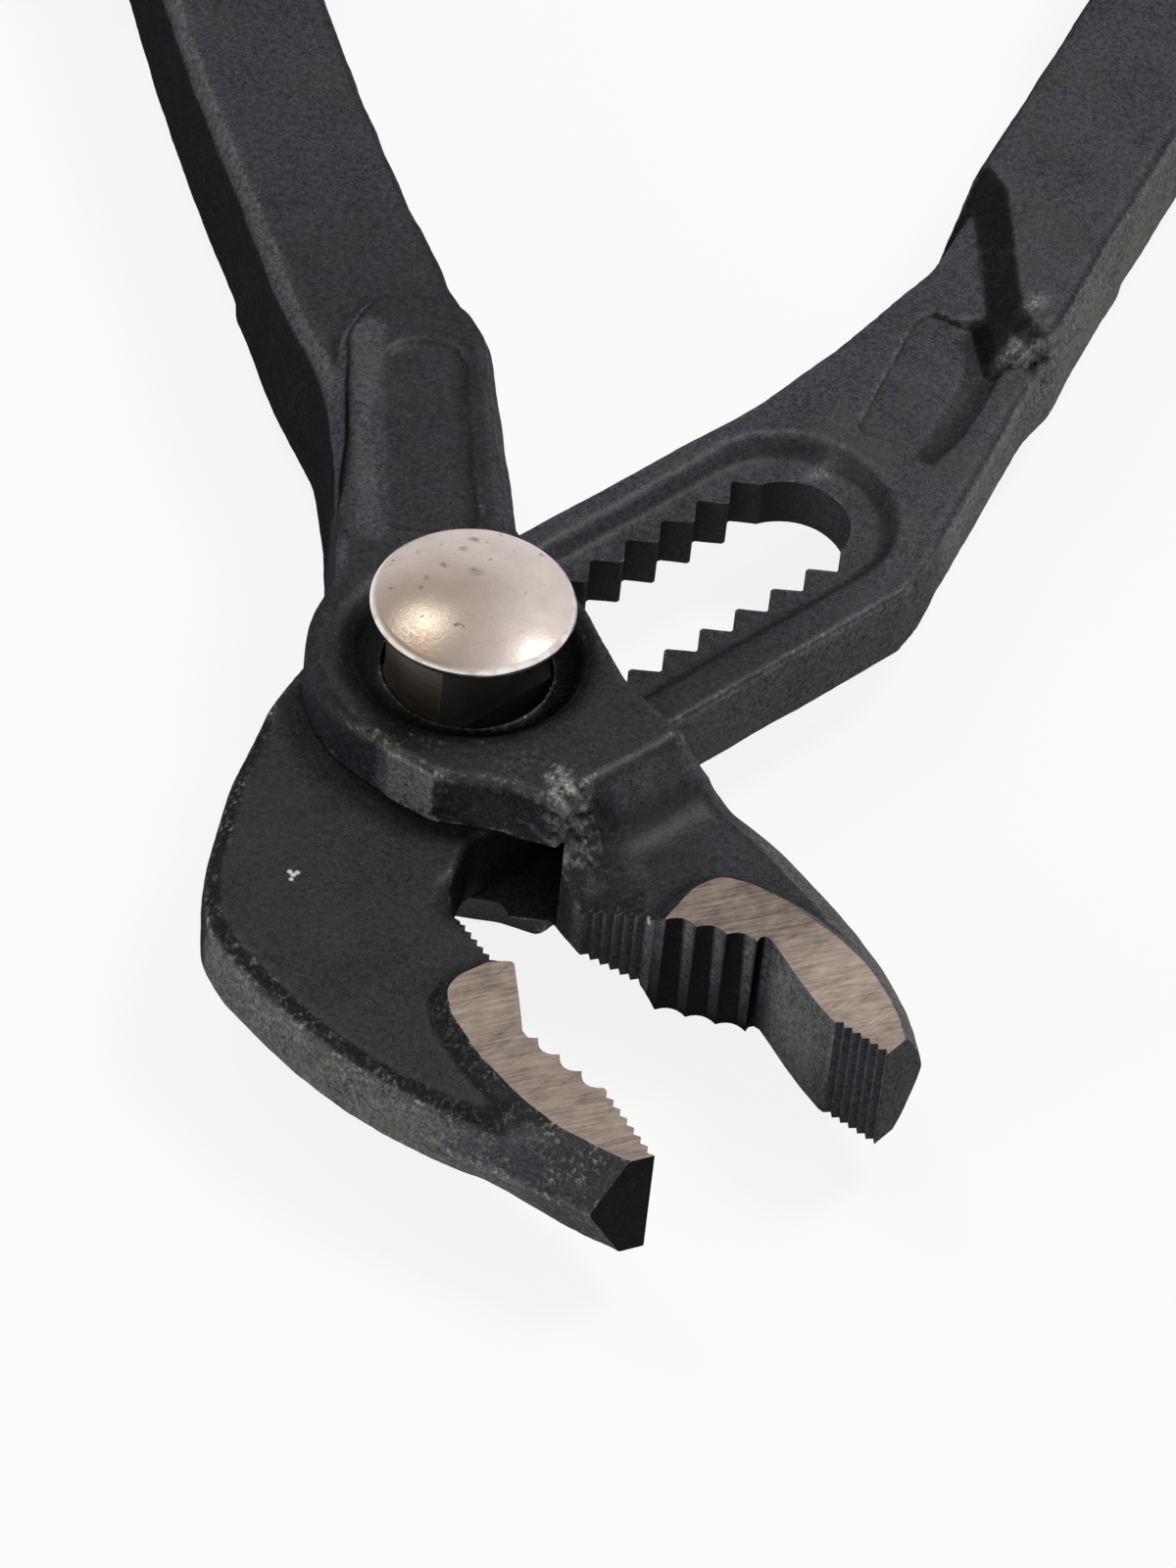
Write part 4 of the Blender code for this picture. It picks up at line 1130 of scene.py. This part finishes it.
def makeButton():
    shape = buttonShape
    ball = (shape["radius"] ** 2 + shape["crown"] ** 2) / (2 * shape["crown"])
    swing = math.asin((shape["radius"] - 0.2) / ball)
    top = shape["rim"] + shape["crown"]
    profile = [(0, top)]
    for step in range(1, shape["steps"] + 1):
        at = swing * step / shape["steps"]
        profile.append((ball * math.sin(at), top - ball * (1 - math.cos(at))))
    radius, under, foot = shape["spigot"]
    profile += [*shape["edge"], (radius, under), (radius, foot), (0, foot)]
    button = turned("pressButton", profile[::-1], 128)
    button.data.flip_normals()
    smoothShade(button, 40)
    dress(button, "nickel")
    return button


# round shank with two flats over a toothed collar, bored for the spring and for the button's spigot
pinShape = {
    "radius": 6.85,
    "flat": 3.4,
    "top": 13.3,
    "footRadius": 6.82,
    "footFlat": 4.65,
    "footTop": 6.4,
    "collar": (-0.4, 3.75),
    "tooth": [(-1.7, 4.78), (-0.15, 6.3), (0.15, 6.3), (1.7, 4.78)],
    "overlap": 0.4,
    "bore": (2.4, 8.9),
    "spigot": (2.28, 10.9),
    "clear": (-2, 15),
    "boreSides": 48,
}


def pinSection(radius, flat):
    swing = math.asin(flat / radius)
    sides = [np.linspace(-swing, swing, 17), np.linspace(math.pi - swing, math.pi + swing, 17)]
    return [(radius * math.cos(at), radius * math.sin(at)) for at in np.concatenate(sides)]


def makePin():
    shape = pinShape
    low, high = shape["collar"]
    overlap = shape["overlap"]
    shank = pinSection(shape["radius"], shape["flat"])
    pin = prism("lockingPin", shank, low + overlap, shape["top"], slotTurn)
    narrow = pinSection(shape["footRadius"], shape["footFlat"])
    foot = prism("foot", narrow, high - overlap, shape["footTop"], slotTurn)
    half = [(notch * slotShape["pitch"] + x, y) for notch in (-1, 0, 1) for x, y in shape["tooth"]]
    collar = prism("collar", half + [(x, -y) for x, y in reversed(half)], low, high, slotTurn)
    combine(pin, "UNION", [collar, foot])
    below, above = shape["clear"]
    radius, height = shape["bore"]
    ends = [(0, height), (radius, height), (radius, below), (0, below)]
    bore = turned("boreCut", ends, shape["boreSides"])
    radius, height = shape["spigot"]
    ends = [(0, above), (radius, above), (radius, height), (0, height)]
    spigot = turned("spigotCut", ends, shape["boreSides"])
    combine(pin, "DIFFERENCE", [bore, spigot])
    smoothShade(pin, 25)
    dress(pin, "pin", "shadedPinFlat", "shadowedPinLedge")
    normals = faceTable(pin)[1]
    across = normals[:, 0] * math.sin(slotTurn) - normals[:, 1] * math.cos(slotTurn)
    tops = np.array([max(pin.data.vertices[k].co.z for k in face.vertices) for face in pin.data.polygons])
    # flats and ledges take the dark finishes that paint the shade under the button
    low = (np.abs(normals[:, 2]) > 0.9) | (tops / mm - midHeight < shape["footTop"] + 0.1)
    kind = np.where(low, 2, np.where(np.abs(across) > 0.99, 1, 0))
    pin.data.polygons.foreach_set("material_index", kind.astype(np.int32))
    return pin


pin = makePin()
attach(pin, "pin")
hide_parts("toothed_pin")

# dipped sleeves: length along the handle in mm and share of the full section, from the lip to the swell;
# routes are in shares of the given unit, and each grip starts at a step of its route
gripShape = {
    "wide": 11.0,
    "high": 9.2,
    "power": 2.6,
    "pocket": (7.75, 7.1, 5.0, 3.6),
    "mouth": (0.8, 3.4),
    "lip": [
        (0, 0.86), (0.25, 0.89), (0.8, 0.915), (1.6, 0.925), (2.6, 0.915), (3.6, 0.895), (5, 0.89), (8, 0.9),
        (14, 0.915), (24, 0.935), (36, 0.955), (50, 0.975), (64, 0.985),
    ],
    "swell": 0.985,
    "end": 10.0,
    "ahead": 4.2,
    "sides": 72,
    "unit": 192,
    "outerRoute": [
        (-0.07, 0.242), (-0.091, 0.292), (-0.112, 0.344), (-0.138, 0.417), (-0.167, 0.51), (-0.1995, 0.625),
        (-0.229, 0.755), (-0.25, 0.885), (-0.26, 1.0),
    ],
    "innerRoute": [
        (0.383, 0.062), (0.4115, 0.075), (0.448, 0.0917), (0.5417, 0.1354), (0.6526, 0.1927), (0.7625, 0.26),
        (0.867, 0.3385), (0.958, 0.422),
    ],
}


def makeGrip(name, route, start, turn):
    shape = gripShape
    path = smoothPath([(x * shape["unit"], y * shape["unit"]) for x, y in shape[route]], 12)[start:]
    last = path[-1] - path[-2]
    path = np.vstack([path, path[-1] + last / np.hypot(*last) * shape["ahead"]])
    run = np.concatenate([[0], np.cumsum(np.hypot(*np.diff(path, axis=0).T))])
    long = run[-1]
    end = shape["end"]
    stops = [stop for stop in shape["lip"] if stop[0] < long - end - 2]
    for at in np.linspace(0, 1.5, 14):
        stops.append((long - end + end * math.sin(at), shape["swell"] * max(math.cos(at) ** 0.8, 0.12)))
    full = shape["wide"], shape["high"]
    wide, high, power, deep = shape["pocket"]
    share, square = shape["mouth"]
    places = [(deep, 1, wide, high, power), (0.3, 1, wide, high, power), (0, share, *full, square)]
    places += [(at, share, *full, shape["power"]) for at, share in stops]
    swing = np.linspace(0, math.tau, shape["sides"], endpoint=False)
    rings = []
    for at, share, wide, high, power in places:
        here, after, before = (
            [np.interp(spot, run, path[:, axis]) for axis in (0, 1)] for spot in (at, at + 1, at - 1)
        )
        ahead = np.subtract(after, before) / math.dist(after, before)
        across = np.sign(np.cos(swing)) * np.abs(np.cos(swing)) ** (2 / power) * wide * share
        rise = np.sign(np.sin(swing)) * np.abs(np.sin(swing)) ** (2 / power) * high * share
        rings.append(np.stack([here[0] - ahead[1] * across, here[1] + ahead[0] * across, rise], axis=1))
    grip = loft(name, rings, turn)
    smoothShade(grip, 40)
    dress(grip, "dip")
    return grip


for name, route, start, turn, body, node in (
    ("outerGrip", "outerRoute", 48, 0, "outer", "grip_outer"),
    ("innerGrip", "innerRoute", 40, slotTurn, "inner", "grip_inner"),
):
    grip = makeGrip(name, route, start, turn)
    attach(grip, body)
    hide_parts(node)
print("pin and grips made")

# coil spring with closed ends
springShape = {
    "radius": 1.7,
    "wire": 0.4,
    "low": -6.5,
    "high": 8.35,
    "turns": 8,
    "closed": 0.87,
    "seat": 2.4,
    "keep": 0.594,
}


def makeSpring():
    shape = springShape
    turns, low, high, closed = (shape[key] for key in ("turns", "low", "high", "closed"))
    swing = np.linspace(0, math.tau, 10, endpoint=False)
    rings = []
    for at in np.linspace(0, turns, turns * 24 + 1):
        height = np.interp(at, [0, 1, turns - 1, turns], [low, low + closed, high - closed, high])
        out, rise = shape["radius"] + shape["wire"] * np.cos(swing), shape["wire"] * np.sin(swing)
        turn = math.tau * at
        rings.append(np.stack([out * math.cos(turn), out * math.sin(turn), height + rise], axis=1))
    spring = loft("pinSpring", rings)
    smoothShade(spring, 60)
    dress(spring, "spring")
    return spring


spring = makeSpring()
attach(spring, "pivot")
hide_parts("return_spring")
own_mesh(spring)

button = makeButton()
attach(button, "pin")
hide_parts("button_cap")

for node, finish in (("spring_seat", "pin"), ("snap_ring", "spring")):
    dress(frame["nodes"][node], finish)
print("button and small parts dressed")


# stage, light and camera

cameraShape = {
    "eye": (10.7, -531.7, 541.7),
    "elevation": 45.3,
    "roll": 6.46,
    "focal": 9500,
    "frameHeight": 1600,
    "sensor": 36,
}


def makeCamera():
    data = bpy.data.cameras.new("photoCamera")
    data.sensor_width = cameraShape["sensor"]
    data.lens = cameraShape["focal"] * cameraShape["sensor"] / cameraShape["frameHeight"]
    data.clip_start = 0.01
    camera = place("photoCamera", data)
    tilt, roll = (math.radians(cameraShape[key]) for key in ("elevation", "roll"))
    ahead = Vector((0, math.cos(tilt), -math.sin(tilt)))
    level = Vector((1, 0, 0))
    above = level.cross(ahead)
    right = math.cos(roll) * level + math.sin(roll) * above
    up = math.cos(roll) * above - math.sin(roll) * level
    turn = Matrix((right, up, -ahead)).transposed().to_4x4()
    camera.matrix_world = Matrix.Translation(Vector(cameraShape["eye"]) * mm) @ turn
    scene.camera = camera


makeCamera()


def makeLamp(name, spot, size, power, colour=(1, 1, 1)):
    data = bpy.data.lights.new(name, "AREA")
    data.shape = "DISK"
    data.size = size
    data.energy = power
    data.color = colour
    lamp = place(name, data)
    lamp.location = spot
    lamp.rotation_euler = (-Vector(spot)).to_track_quat("-Z", "Y").to_euler()
    return lamp


softboxes = [
    makeLamp("backRightSoftbox", (0.42, 0.29, 0.92), 0.34, 6.6, (1, 0.96, 0.92)),
    makeLamp("backLeftSoftbox", (-0.47, 0.54, 1.1), 0.34, 3.1, (1, 0.92, 0.82)),
    makeLamp("frontLeftSoftbox", (-0.75, -0.55, 0.35), 0.4, 4),
]
makeLamp("rightGlint", (0.46, 0.27, 0.9), 0.26, 0.6, (1, 0.95, 0.88))
makeLamp("leftGlint", (-0.37, 0.5, 1.1), 0.34, 0.7, (1, 0.92, 0.78))
flagged = bpy.data.collections.new("flaggedFromSoftboxes")  # plated metal would burn out under these
for piece in (button, pin):
    flagged.objects.link(piece)
for entry in flagged.collection_objects:
    entry.light_linking.link_state = "EXCLUDE"
for lamp in softboxes:
    lamp.light_linking.receiver_collection = flagged

stageLook = {
    "reach": 3,
    "drop": -0.0006,
    "floor": (0.7, 0.7, 0.7),
    "shadow": 0.13,
    "sky": (0.2, 0.2, 0.2),
    "lowGlow": (0.86, 0.84, 0.83),
    "leftGlow": (0.4, 0.345, 0.295),
    "rightGlow": (0.98, 0.97, 0.96),
}


def blankTree(owner):
    owner.use_nodes = True
    owner.node_tree.nodes.clear()
    return Signal(owner.node_tree)


# 1 for rays that come straight from the camera, off something glossy or through something clear
def seenRays(start):
    seen, glossy, passing = (start.make("LightPath", None, None, out) for out in (0, 3, 6))
    return start.maths("MAXIMUM", start.maths("MAXIMUM", seen, glossy), passing)


def makeStage():
    look = stageLook
    reach, drop = look["reach"], look["drop"]
    corners = [(x * reach, y * reach, drop) for x, y in ((-1, -1), (1, -1), (1, 1), (-1, 1))]
    floor = quadObject("floor", corners, [(0, 1, 2, 3)])
    material = bpy.data.materials.new("paleFloor")
    start = blankTree(material)
    paper = start.make("BsdfDiffuse", None, {"Color": look["floor"]})
    white = start.make("Emission", None, {"Color": (1, 1, 1), "Strength": 1.0})
    share = seenRays(start) * (1 - look["shadow"])
    mixed = start.make("MixShader", None, {0: share, 1: paper, 2: white})
    start.make("OutputMaterial", None, {"Surface": mixed})
    floor.data.materials.append(material)

    scene.world = bpy.data.worlds.new("studio")
    start = blankTree(scene.world)
    soft = start.make("Background", None, {"Color": look["sky"], "Strength": 1.0})
    across, height = (start.make("SeparateXYZ", None, {0: start.make("TexCoord")}, axis) for axis in (0, 2))
    left = height.clip(0.35, 0.7).blend(look["lowGlow"], look["leftGlow"])
    glow = (across.clip(-0.3, 0.34) ** 1.6).blend(left, look["rightGlow"])
    bright = start.make("Background", None, {"Color": glow, "Strength": 1.0})
    mixed = start.make("MixShader", None, {0: seenRays(start), 1: soft, 2: bright})
    start.make("OutputWorld", None, {"Surface": mixed})


makeStage()
print("stage and lights set")

scene.view_settings.view_transform = "Standard"
